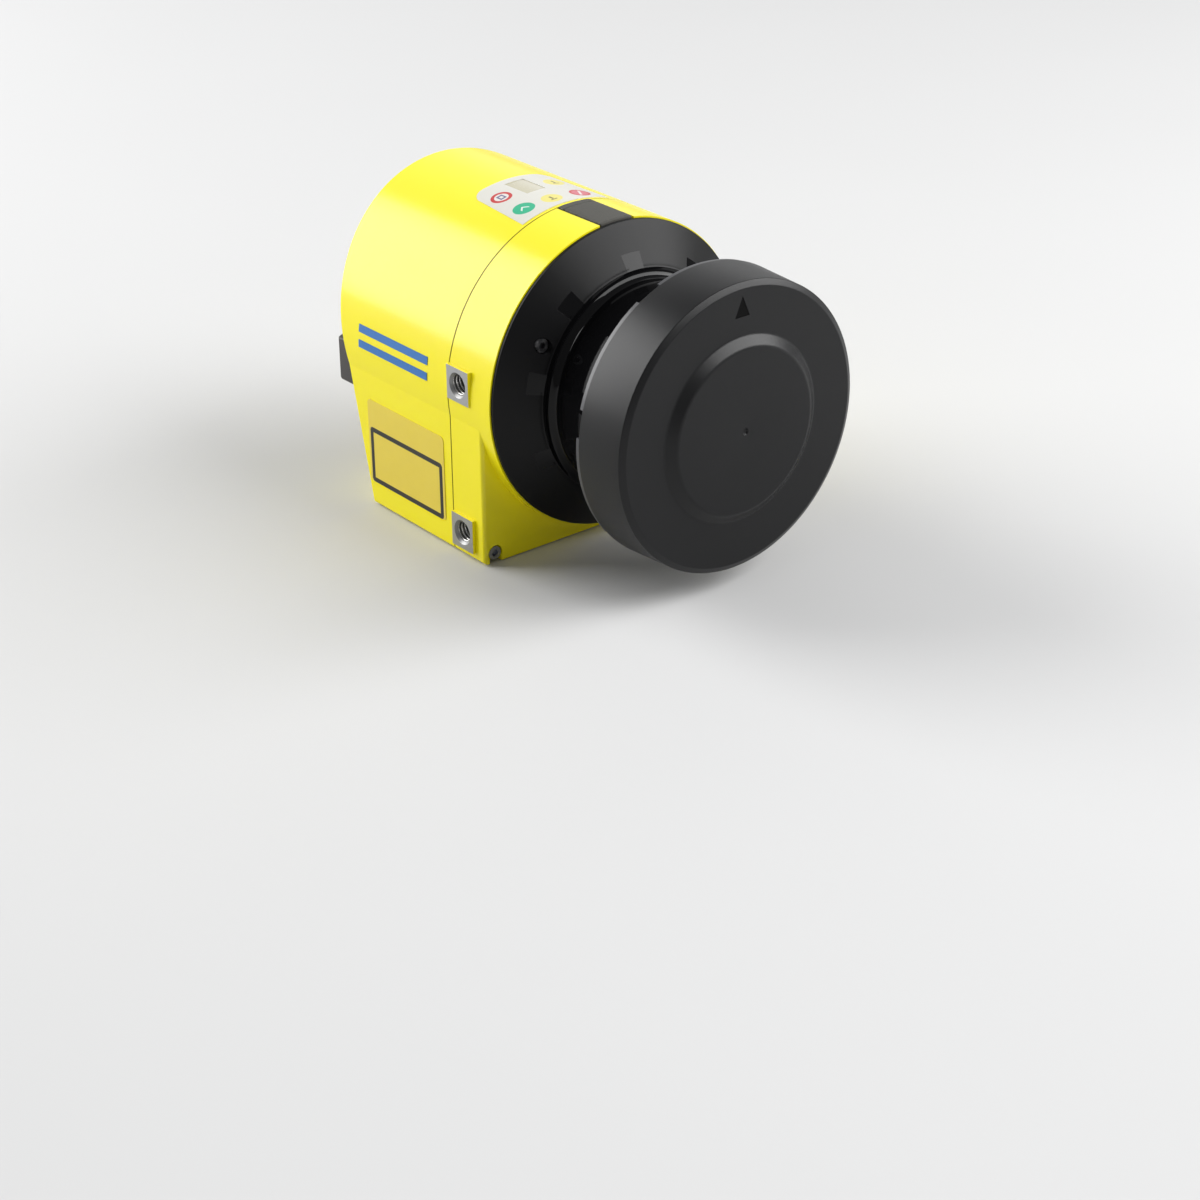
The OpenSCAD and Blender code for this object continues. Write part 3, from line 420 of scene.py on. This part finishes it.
cover_profile = rounded([
    (rim_in, rim_back, 0), (rim_r, rim_back, 0.15), (rim_r, flange, 0.32),
    (root_r + 0.15, cone_end + 0.1, 0.25), (waist_r, cone_end - 0.25, 2.9),
    (waist_r - 0.02, waist_y, 0), (neck_top_r, window_end, 0),
    (neck_top_r - cover_wall, window_end, 0), (waist_r - cover_wall, waist_y, 0),
    (waist_r - cover_wall, cone_end + cover_wall, 0), (root_r, cone_end + 2.8, 0),
    (rim_in, flange + 0.2, 0),
])
# two rows of points along each side of a patch and of the notch in its corner keep its walls crisp
cone_foot = np.array([
    rim_r - 0.5, rim_r - 3.0, 44.0, patch_out + patch_edge, patch_out, 40.4,
    notch_r + patch_edge, notch_r, patch_in, patch_in - patch_edge])
cone_points = np.stack([cone_foot, flange - cone_rise * (rim_r - cone_foot) / (rim_r - root_r)], -1)
rim_end = np.argmax(cover_profile[:, 1] < flange - 0.05)
cover_profile = np.concatenate([cover_profile[:rim_end], cone_points, cover_profile[rim_end:]])
patch_at = np.arange(-3, 4) * patch_pitch
sides_of_patch = np.array([-patch_half, -patch_half + patch_edge, notch_at, notch_at + patch_edge,
                           patch_half - patch_edge, patch_half])
cover_angles = np.unique(np.concatenate([
    np.arange(-180, 180, 2.0), (patch_at[:, None] + sides_of_patch[None, :]).ravel()]).round(4))
cover_points, cover_faces = turned(cover_profile, cover_angles)
nearest = np.abs(cover_angles[:, None] - patch_at[None, :]).argmin(1)
from_patch = (cover_angles - patch_at[nearest])[:, None]
from_axis, row = cover_profile[None, :, 0], np.arange(len(cover_profile))
on_cone = (row >= rim_end) & (row < rim_end + len(cone_foot))
low_edge = np.where(from_patch < notch_at + 0.02, notch_r + 0.01, patch_in - 0.01)
sunk = (on_cone & (from_axis < patch_out + 0.01) & (from_axis > low_edge)
        & (np.abs(from_patch) < patch_half - 0.02))
cover_points[..., 1] += patch_depth * sunk

optic = Finish("black_optic", base_color=(0.003, 0.003, 0.0034), specular_ior_level=0.18)
radius = optic.away(optic.x, optic.z, 0.0, axis_z)
bearing = optic.node("ShaderNodeMath", {"operation": "ARCTAN2"}, {0: optic.x, 1: optic.z - axis_z})
pitches = bearing * (180 / math.pi / patch_pitch)
off_patch = abs(pitches - optic.node("ShaderNodeMath", {"operation": "ROUND"}, {0: pitches}))
last_patch = math.radians(3.4 * patch_pitch)
patch = (off_patch < (patch_half - 0.01) / patch_pitch) & (radius < patch_out + 0.02) \
    & (abs(bearing) < last_patch)
satin = optic.step(radius, root_r + 0.05, root_r + 0.35) * (1 - patch)
grain = optic.noise(5.5, 2.0)
optic.set(
    roughness=0.05 + satin * (0.3 + 0.08 * grain),
    normal=optic.bump(grain * satin, 0.012),
)
cover = add_piece(
    "optics_window", cover_points.reshape(-1, 3), cover_faces, "scanner", "black_optic", optic)
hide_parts("optics_cover")


def closed(rows):
    """Rows of points joined into a tube, with a flat face over the first row and over the last."""
    count = len(rows[0])
    walls = web(len(rows), count, columns_meet=True).tolist()
    ends = [list(range(count)), list(range((len(rows) - 1) * count, len(rows) * count))]
    return np.concatenate(rows), walls + ends


def drill(piece, x, z, steps):
    """Drills a stepped hole along Y at (x, z). Each step is a radius and the y that it starts or
    ends at."""
    spin = np.linspace(0, 2 * math.pi, 48, endpoint=False)
    carve(piece, *closed([np.stack([x + r * np.cos(spin), y + 0 * spin, z + r * np.sin(spin)], -1)
                          for r, y in steps]))


# a counterbore with a ledge for each of the three screws
screw_circle, head_hole, shank_hole, ledge_y = 40.5, 2.5, 1.35, flange - 3
for angle in np.radians([-60, 60, 180]):
    drill(cover, screw_circle * math.sin(angle), axis_z + screw_circle * math.cos(angle),
          [(head_hole, flange - 14), (head_hole, ledge_y), (shank_hole, ledge_y),
           (shank_hole, rim_back + 1)])

# ---- Head plate --------------------------------------------------------------------
# A black aluminium plate that closes the window and carries the motor. Its notched lip
# shows as a thin grey line behind the cap.
lip = Finish("satin_lip", base_color=(0.05, 0.05, 0.055), specular_ior_level=0.5)
lip.set(roughness=0.26 + 0.1 * lip.noise(2.0), normal=lip.bump(lip.noise(4.0), 0.008))
lip.cover("head_plate")

# ---- Head cap ----------------------------------------------------------------------
# A moulded cover over the motor, in charcoal plastic with a fine spark-eroded grain. A
# raised centre, a bevelled rim, a moulding gate in the middle, and an engraved arrow at
# the scan's middle.
cap_low, cap_high = edges("head_cap")
cap_r, cap_rear, cap_tip = cap_high[0], cap_high[1], cap_low[1]
plateau_h, plateau_r, slope_w = 2.4, 30.2, 3.3
cap_wall, cap_side, cap_draft, bevel_w, bevel_h = 2.8, 3.0, 0.85, 1.95, 1.05
cap_face = cap_tip + plateau_h
cap_profile = rounded([
    (0, cap_tip + 0.6, 0), (0.7, cap_tip + 0.55, 0.25), (1.15, cap_tip, 0.12),
    (plateau_r - slope_w, cap_tip, 2.2), (plateau_r, cap_face, 1.8),
    (cap_r - cap_draft - bevel_w, cap_face, 1.0), (cap_r - cap_draft, cap_face + bevel_h, 0.4),
    (cap_r, cap_rear, 0.25), (cap_r - cap_side, cap_rear, 0),
    (cap_r - cap_side - 0.7, cap_face + cap_wall + 2, 0),
    (cap_r - cap_side - 2.7, cap_face + cap_wall, 0), (plateau_r - 0.8, cap_face + cap_wall, 0),
    (plateau_r - slope_w - 0.8, cap_tip + cap_wall, 0), (0, cap_tip + cap_wall, 0),
], steps=13)
cap_points, cap_faces = turned(cap_profile, np.arange(0, 360, 1.5))

charcoal = Finish("charcoal_cap", specular_ior_level=0.31)
grain = charcoal.noise(4.5, 3.0, 0.6)
charcoal.set(
    base_color=charcoal.mix(charcoal.noise(0.08), (0.003, 0.0031, 0.0037), (0.0042, 0.0043, 0.005)),
    roughness=0.31 + 0.1 * grain,
    normal=charcoal.bump(grain, 0.02),
)
cap = add_piece("motor_cap", cap_points.reshape(-1, 3), cap_faces,
                "scanner", "charcoal_plastic", charcoal, crease=35)
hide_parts("head_cap")


def arrow(tip, foot, half, front, back):
    """A triangle that points up from foot to tip, 2 * half wide, from front to back along Y."""
    corners = np.array([(0, tip), (-half, foot), (half, foot)])
    return closed([np.insert(corners, 1, y, axis=1) for y in (front, back)])


arrow_tip, arrow_foot, arrow_half = axis_z + cap_r - 4.9, axis_z + cap_r - 11.5, 2.9
arrow_floor = cap_face + 0.8
carve(cap, *arrow(arrow_tip, arrow_foot, arrow_half, cap_face - 2, arrow_floor), crease=35)
# a matte black fill in the engraved arrow: partly its matte finish, partly painted shade that stands for
# the depth of the engraving
arrow_matte_shade_black = Finish("arrow_matte_shade_black", base_color=(0.003, 0.003, 0.003), specular_ior_level=0.06)
arrow_matte_shade_black.set(roughness=0.5 + 0.2 * arrow_matte_shade_black.noise(4.0))
inlay = arrow(arrow_tip - 0.06, arrow_foot + 0.02, 0.99 * arrow_half, cap_face + 0.1, arrow_floor - 0.02)
add_piece("arrow_matte_shade_fill", *inlay, "scanner", "charcoal_plastic", arrow_matte_shade_black)

# ---- Display -----------------------------------------------------------------------
# A printed polyester film over a seven-segment window and five light pipes. Each light
# has its own plain sign: a square in a ring, a tick, a bar with a foot and a slanting bar.
film_low, film_high = edges("display_film")
film_mid, film_front = (film_low[0] + film_high[0]) / 2, film_low[1]
window_low, window_high = edges("display_window")

film = Finish("printed_film", specular_ior_level=0.5)
print_white, print_red, print_pink = (0.66, 0.65, 0.60), (0.50, 0.018, 0.02), (0.60, 0.14, 0.18)
print_green, print_yellow, print_dark = (0.005, 0.40, 0.21), (0.74, 0.66, 0.17), (0.13, 0.11, 0.04)
sign_white = (0.70, 0.68, 0.64)
tone = film.mix(film.noise(0.2), print_white, (0.63, 0.62, 0.565))


def sign(x, back):
    """The distances across and along the film from a sign's centre, and from that centre."""
    along, over = film.y - (film_front + back), film.x - (film_mid + x)
    return over, along, (over ** 2.0 + along ** 2.0) ** 0.5


def inside(distance, edge):
    """1 within edge, with a printed border a tenth of a millimetre soft."""
    return film.step(distance, edge + 0.05, edge - 0.05)


sign_r = 3.5
# red ring round a plain square
over, along, out = sign(-10.2, 19.9)
square = abs(over) | abs(along * 0.8)
tone = film.mix(inside(out, sign_r), tone, print_red)
tone = film.mix(inside(out, 2.35), tone, sign_white)
tone = film.mix(inside(square, 1.15), tone, (0.10, 0.09, 0.22))
tone = film.mix(inside(square, 0.6), tone, sign_white)
# green disc with a tick
over, along, out = sign(-10.9, 7.3)
tone = film.mix(inside(out, sign_r + 0.1), tone, print_green)
elbow = abs((along - 0.9) + abs(over) * 1.1)
tone = film.mix(inside(elbow, 0.42) & inside(abs(over), 1.5), tone, (0.68, 0.75, 0.70))
# two yellow discs with a bar and a foot across its end
for x, back in ((-0.9, 5.8), (10.4, 19.2)):
    over, along, out = sign(x, back)
    tone = film.mix(inside(out, sign_r), tone, print_yellow)
    tone = film.mix(inside(abs(over), 0.35) & inside(abs(along - 0.3), 1.1), tone, print_dark)
    tone = film.mix(inside(abs(over), 1.2) & inside(abs(along + 1.3), 0.25), tone, print_dark)
# pink disc with a slanting white bar in a red ring
over, along, out = sign(10.2, 5.5)
tone = film.mix(inside(out, sign_r), tone, print_red)
tone = film.mix(inside(out, 2.75), tone, print_pink)
tone = film.mix(inside(abs(over - along * 0.5), 0.45) & inside(out, 2.5), tone, (0.73, 0.66, 0.64))
film.set(
    base_color=tone,
    roughness=0.3 + 0.1 * film.noise(2.5),
    normal=film.bump(film.noise(1.2), 0.01),
)
film.cover("display_film")

ivory = Finish("ivory_window", specular_ior_level=0.5)
lit_side = ivory.step(ivory.x, window_low[0], window_high[0])
ivory.set(
    base_color=ivory.mix(lit_side, (0.50, 0.47, 0.34), (0.57, 0.545, 0.44)),
    roughness=0.22 + 0.08 * ivory.noise(1.5),
    normal=ivory.bump(ivory.noise(1.0), 0.008),
)
ivory.cover("display_window", "digit_display")

lamp_clear = Finish("lamp_clear", base_color=(0.82, 0.82, 0.78))
lamp_clear.set(roughness=0.12 + 0.06 * lamp_clear.noise(2.0))
lamp_clear.cover("status_lamps", "sensor_lamps")

# ---- Label and stripes -------------------------------------------------------------
# A plain foil sticker with a printed black frame on the flat side, left free of words,
# and two plain blue stripes printed on the round side.
label_low, label_high = edges("side_label")
label = Finish("label_film", specular_ior_level=0.5)
mid_y, mid_z = (label_low[1] + label_high[1]) / 2, 18.7
half_y, half_z, corner_r = 19.2, 9.0, 0.5
# how far a point lies outside a rectangle with round corners: less than 0 is inside
over_y, over_z = abs(label.y - mid_y) - (half_y - corner_r), abs(label.z - mid_z) - (half_z - corner_r)
outside = ((over_y | 0.0) ** 2.0 + (over_z | 0.0) ** 2.0) ** 0.5 + ((over_y | over_z) & 0.0) - corner_r
frame_line = label.step(abs(outside), 0.9, 0.8)
aged = label.mix(label.noise(0.12), (0.72, 0.56, 0.05), (0.76, 0.60, 0.065))
label.set(
    base_color=label.mix(frame_line, aged, (0.012, 0.011, 0.01)),
    roughness=0.38 + 0.1 * label.noise(1.4),
    normal=label.bump(label.noise(0.8, 3.0), 0.012),
)
label.cover("side_label")

blue = Finish("blue_print", specular_ior_level=0.5)
blue.set(
    base_color=blue.mix(blue.noise(0.8), (0.012, 0.13, 0.42), (0.018, 0.16, 0.48)),
    roughness=0.34 + 0.08 * blue.noise(2.0),
    normal=blue.bump(blue.noise(0.55), 0.012),
)
blue.cover("side_mark")


# ---- Rubber cover ------------------------------------------------------------------
# A soft black strip over the round configuration socket. It bends about its hinge line,
# behind which it is glued down; its edges are moulded round.
def strip(low, high, end_round):
    """A flat bar bent over the body. Its section is a squared oval, a power of the cosine across by
    a power of the sine up, and the distance across is laid along the circle. Over end_round both
    ends narrow like the quarter of a circle. Two slow sine waves run along the cut edges."""
    y = low[1] + (high[1] - low[1]) * (1 - np.cos(math.pi * np.linspace(0, 1, 49)[:, None])) / 2
    near = np.minimum(y - low[1], high[1] - y) / end_round
    shrink = end_round * (1 - np.sqrt(np.clip(1 - (1 - np.minimum(near, 1)) ** 2, 0, 1)))
    around = np.linspace(0, 2 * math.pi, 96, endpoint=False)[None, :]
    c, s = np.cos(around), np.sin(around)
    top_r, half_t = high[2] - axis_z, 1.05
    across = ((high[0] - low[0]) / 2 - shrink) * np.sign(c) * np.abs(c) ** 0.18
    across -= 0.13 * (1 + 0.6 * np.sin(y * 1.3) + 0.4 * np.sin(y * 3.1 + np.sign(c))) * np.sign(c)
    up = top_r - half_t + (half_t - shrink) * np.sign(s) * np.abs(s) ** 0.22
    angle = across / top_r
    points = np.stack([up * np.sin(angle), y + 0 * around, axis_z + up * np.cos(angle)], -1)
    poles = points[[0, -1]].mean(1, keepdims=True) + 0 * points[[0, -1]]
    grid = np.concatenate([poles[:1], points, poles[1:]])
    return grid.reshape(-1, 3), web(*grid.shape[:2], columns_meet=True)


rubber = Finish("soft_rubber", specular_ior_level=0.4)
nap = rubber.noise(1.6, 4.0, 0.7)
rubber.set(
    base_color=rubber.mix(nap, (0.030, 0.029, 0.026), (0.115, 0.112, 0.098)),
    roughness=0.6 + 0.2 * nap,
    normal=rubber.bump(nap, 0.05),
)
flap_low, flap_high = edges("config_flap")
root_low, root_high = edges("config_flap_root")
flap = add_piece("socket_flap", *strip(flap_low, flap_high, 0.5),
                 "socket_cover", "black_rubber", rubber, crease=60)
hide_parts("config_flap")
flap_root = add_piece("socket_flap_root", *strip(root_low, root_high, 0.4),
                      "scanner", "black_rubber", rubber, crease=60)
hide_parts("config_flap_root")

# ---- System plug -------------------------------------------------------------------
# The plug-in base with the customer's wiring, in black glass-filled plastic, and a
# moulded cable gland that is closed by its blank plug. Over a ledge in its sides the
# housing follows the round body, and its gasket follows the housing.
plug_low, plug_high = edges("plug_housing")
plug_foot, plug_top, plug_end, plug_half_w = plug_low[2], plug_high[2], plug_high[1], plug_high[0] + 0.7
plug_z, plug_half_h = (plug_foot + plug_top) / 2, (plug_top - plug_foot) / 2
ledge_z, ledge_rise, shoulder_r = axis_z - 3.7, 0.5, 44.2
plug_wall, cavity_half, seal_t, rear_edge = 2.5, 34.5, 0.6, 0.8
base_slope = math.tan(math.radians(13))
bend = np.arcsin(np.linspace(ledge_z + ledge_rise - axis_z, plug_top - axis_z, 9) / shoulder_r)
fillets = np.append(np.zeros(8), 2.5)
shoulder = np.stack([shoulder_r * np.cos(bend), axis_z + shoulder_r * np.sin(bend), fillets], -1)
right_side = np.concatenate([[(plug_half_w, plug_foot, 0.8), (plug_half_w, ledge_z, 0.6)], shoulder])
plug_outline = rounded(np.concatenate([right_side, right_side[::-1] * (-1, 1, 1)]))


def on_base(z):
    """The y of the sloping base at z: it rises by the slope for each millimetre of z."""
    return plug_low[1] + (z - plug_foot) * base_slope


def plug_row(inset, y):
    """The plug's outline, smaller by inset all round, at y, or on the sloping base with no y."""
    x = plug_outline[:, 0] * (1 - inset / plug_half_w)
    z = plug_z + (plug_outline[:, 1] - plug_z) * (1 - inset / plug_half_h)
    return np.stack([x, 0 * x + (on_base(z) if y is None else y), z], -1)


cavity_mouth = plug_row(0, None)
cavity_mouth[:, 0] = np.clip(cavity_mouth[:, 0], -cavity_half, cavity_half)
cavity_mouth[:, 2] = np.clip(cavity_mouth[:, 2], plug_foot + plug_wall, plug_top - plug_wall)
cavity_mouth[:, 1] = on_base(cavity_mouth[:, 2])
cavity_end = cavity_mouth * (1, 0, 1) + (0, plug_end - plug_wall, 0)
face_middle = cavity_mouth * 0 + (0, plug_end, plug_z)
plug_rows = [
    face_middle, plug_row(2 * rear_edge, plug_end), plug_row(rear_edge, plug_end),
    plug_row(0.23, plug_end - 0.23), plug_row(0, plug_end - rear_edge), plug_row(0, None),
    cavity_mouth, cavity_end, face_middle - (0, plug_wall, 0)]

plug_black = Finish("plug_black", specular_ior_level=0.45)
eroded = plug_black.noise(3.0, 3.0, 0.6)
plug_black.set(
    base_color=plug_black.mix(plug_black.noise(0.1), (0.024, 0.021, 0.020), (0.032, 0.028, 0.027)),
    roughness=0.42 + 0.14 * eroded,
    normal=plug_black.bump(eroded, 0.03),
)
plug_black.cover("gland_body", "gland_nut", "gland_blank", "config_socket")
plug = add_piece(
    "plug_shell", np.concatenate(plug_rows), web(len(plug_rows), len(plug_outline), columns_meet=True),
    "scanner", "plug_black", plug_black)
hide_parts("plug_housing")
# two counterbored screw holes, and the gland's hole in the underside
screws_low, screws_high = edges("plug_screws")
head_r, head_hole, shank_hole, ledge_y = 3.5, 3.7, 2.1, plug_end - 4.4
for side in (-1, 1):
    drill(plug, side * (screws_high[0] - head_r), (screws_low[2] + screws_high[2]) / 2,
          [(head_hole, plug_end + 1), (head_hole, ledge_y), (shank_hole, ledge_y),
           (shank_hole, plug_low[1] - 5)])
gland_low, gland_high = edges("gland_body")
gland_x, gland_y = ((gland_low + gland_high) / 2)[:2]
gland_hole = 6.05
spin = np.linspace(0, 2 * math.pi, 64, endpoint=False)
carve(plug, *closed([
    np.stack([gland_x + gland_hole * np.cos(spin), gland_y + gland_hole * np.sin(spin), z + 0 * spin], -1)
    for z in (plug_foot - 1, plug_foot + plug_wall + 0.5)]))

lift = (0, seal_t * math.hypot(1, base_slope), 0)
seal_out, seal_in = plug_row(0.8, None), plug_row(2.2, None)
seal = add_piece(
    "plug_gasket", np.concatenate([seal_out - lift, seal_out, seal_in, seal_in - lift]),
    web(4, len(plug_outline), rows_meet=True, columns_meet=True), "scanner", "black_rubber", seal_rubber)
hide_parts("plug_seal")

# ---- Rotor and motor ---------------------------------------------------------------
# The turning parts: a ground steel shaft in two ball bearings, a zinc-plated bell with
# the magnets, a slotted encoder disc, and a front-silvered mirror at 45 degrees.
bright_steel = Finish("bright_steel", metallic=1.0)
lathe = bright_steel.noise(1.0, 2.0, stretch=(0.3, 8.0, 0.3))
bright_steel.set(
    base_color=bright_steel.mix(bright_steel.noise(0.3), (0.52, 0.52, 0.54), (0.66, 0.66, 0.67)),
    roughness=0.18 + 0.16 * lathe,
    normal=bright_steel.bump(lathe, 0.006),
)
bright_steel.cover("motor_bearings", "rotor_shaft", "motor_bell", "bench_screws")

silvered = Finish("silvered_glass", metallic=1.0)
silvered.set(
    base_color=silvered.mix(silvered.noise(0.1), (0.86, 0.88, 0.90), (0.90, 0.91, 0.92)),
    roughness=0.02 + 0.02 * silvered.noise(0.5),
)
silvered.cover("scan_mirror")

winding = Finish("winding_copper", metallic=0.9)
wires = winding.noise(1.0, 1.0, stretch=(0.4, 5.0, 0.4))
winding.set(
    base_color=winding.mix(wires, (0.36, 0.12, 0.04), (0.62, 0.27, 0.11)),
    roughness=0.3 + 0.15 * wires,
    normal=winding.bump(wires, 0.08),
)
winding.cover("motor_stator")

anodised = Finish("black_anodised", metallic=0.35, specular_ior_level=0.5)
anodised.set(
    base_color=anodised.mix(anodised.noise(0.4), (0.02, 0.02, 0.022), (0.032, 0.032, 0.035)),
    roughness=0.36 + 0.14 * anodised.noise(3.0, 3.0),
    normal=anodised.bump(anodised.noise(3.0, 3.0), 0.012),
)
anodised.cover("mirror_carrier", "encoder_disc", "lens_tube", "lens_ring", "laser_holder", "encoder_sensor")

# ---- Receiver and laser ------------------------------------------------------------
# A drilled plano-convex lens gathers the light for the photodiode; the laser's brass
# barrel stands in the middle of it.
lens = Finish("coated_lens", transmission_weight=0.9, specular_ior_level=0.5)
lens.set(
    base_color=lens.mix(lens.noise(0.05), (0.86, 0.93, 0.95), (0.93, 0.90, 0.97)),
    roughness=0.03 + 0.02 * lens.noise(0.5),
)
lens.cover("receiving_lens")

brass = Finish("barrel_brass", metallic=1.0)
ground = brass.noise(1.0, 2.0, stretch=(0.3, 7.0, 0.3))
brass.set(
    base_color=brass.mix(brass.noise(0.5), (0.55, 0.42, 0.16), (0.68, 0.54, 0.24)),
    roughness=0.2 + 0.15 * ground,
    normal=brass.bump(ground, 0.006),
)
brass.cover("laser_barrel", "board_spacers")

# ---- Boards ------------------------------------------------------------------------
# Solder-masked circuit boards with their tracks under the mask, black moulded headers
# and sockets, an amber flexible circuit up to the head, and a green terminal block.
board = Finish("board_green", specular_ior_level=0.5)
tracks = board.step(board.noise(0.55, 1.0, stretch=(1.0, 1.0, 0.35)), 0.50, 0.53)
board.set(
    base_color=board.mix(tracks, (0.008, 0.09, 0.04), (0.02, 0.17, 0.075)),
    roughness=0.26 + 0.1 * board.noise(2.0),
    normal=board.bump(tracks, 0.03),
)
board.cover("motor_board", "receiver_board", "sensor_ring", "main_board", "power_board", "display_board",
            "plug_board")

moulded = Finish("moulded_black", specular_ior_level=0.45)
flow = moulded.noise(2.5, 3.0)
moulded.set(
    base_color=moulded.mix(moulded.noise(0.5), (0.014, 0.014, 0.015), (0.026, 0.026, 0.027)),
    roughness=0.4 + 0.15 * flow,
    normal=moulded.bump(flow, 0.02),
)
moulded.cover("photodiode", "board_link", "system_header", "plug_socket")

amber = Finish("flex_amber", specular_ior_level=0.5)
amber.set(
    base_color=amber.mix(amber.step(amber.noise(0.5, 1.0, stretch=(3.0, 0.1, 1.0)), 0.48, 0.52),
                         (0.42, 0.17, 0.02), (0.55, 0.26, 0.05)),
    roughness=0.25 + 0.08 * amber.noise(2.0),
)
amber.cover("head_flex")

terminal = Finish("terminal_green", specular_ior_level=0.5)
terminal.set(
    base_color=terminal.mix(terminal.noise(0.4), (0.02, 0.24, 0.08), (0.03, 0.30, 0.11)),
    roughness=0.36 + 0.12 * terminal.noise(2.5),
    normal=terminal.bump(terminal.noise(3.0), 0.015),
)
terminal.cover("terminal_block")

# ---- Floor and light ---------------------------------------------------------------
# A pale floor that runs out of view, a large soft window behind on the left, a wide low
# one tilted at the front right and a weak wide one behind, in a light room.
reach = 4.0
floor_mesh = bpy.data.meshes.new("floor")
floor_mesh.from_pydata(
    [(-reach, -reach, 0), (reach, -reach, 0), (reach, reach, 0), (-reach, reach, 0)], [], [(0, 1, 2, 3)])
floor = bpy.data.objects.new("floor", floor_mesh)
bpy.context.scene.collection.objects.link(floor)
paper = Finish("pale_paper", specular_ior_level=0.2)
paper.set(
    base_color=paper.mix(paper.noise(0.004), (0.615, 0.615, 0.615), (0.635, 0.635, 0.635)),
    roughness=0.8 + 0.1 * paper.noise(0.5),
)
floor_mesh.materials.append(paper.material)


def softbox(name, place, size, power, roll=0.0):
    """A rectangular soft light at place that faces the scanner, in metres and watts; roll turns it in
    its own plane, in degrees, with the end on its right going up."""
    data = bpy.data.lights.new(name, "AREA")
    data.shape = "RECTANGLE"
    data.size, data.size_y = size
    data.energy = power
    lamp = bpy.data.objects.new(name, data)
    lamp.matrix_world = (
        Matrix.Translation(place)
        @ (Vector(place) - Vector((0, 0, 0.05))).to_track_quat("Z", "Y").to_matrix().to_4x4()
        @ Matrix.Rotation(math.radians(roll), 4, "Z")
    )
    bpy.context.scene.collection.objects.link(lamp)


softbox("window_left", (-0.78, 1.25, 0.76), (1.2, 1.4), 33)
softbox("front_right", (0.88, -0.86, 0.88), (1.75, 0.8), 30, roll=-28)
softbox("backdrop", (1.15, 1.75, 1.05), (2.2, 1.8), 9)
room = bpy.data.worlds.new("white_room")
room.use_nodes = True
room.node_tree.nodes["Background"].inputs["Color"].default_value = (0.98, 0.99, 1.0, 1.0)
room.node_tree.nodes["Background"].inputs["Strength"].default_value = 0.26
bpy.context.scene.world = room
bpy.context.scene.view_settings.view_transform = "Standard"
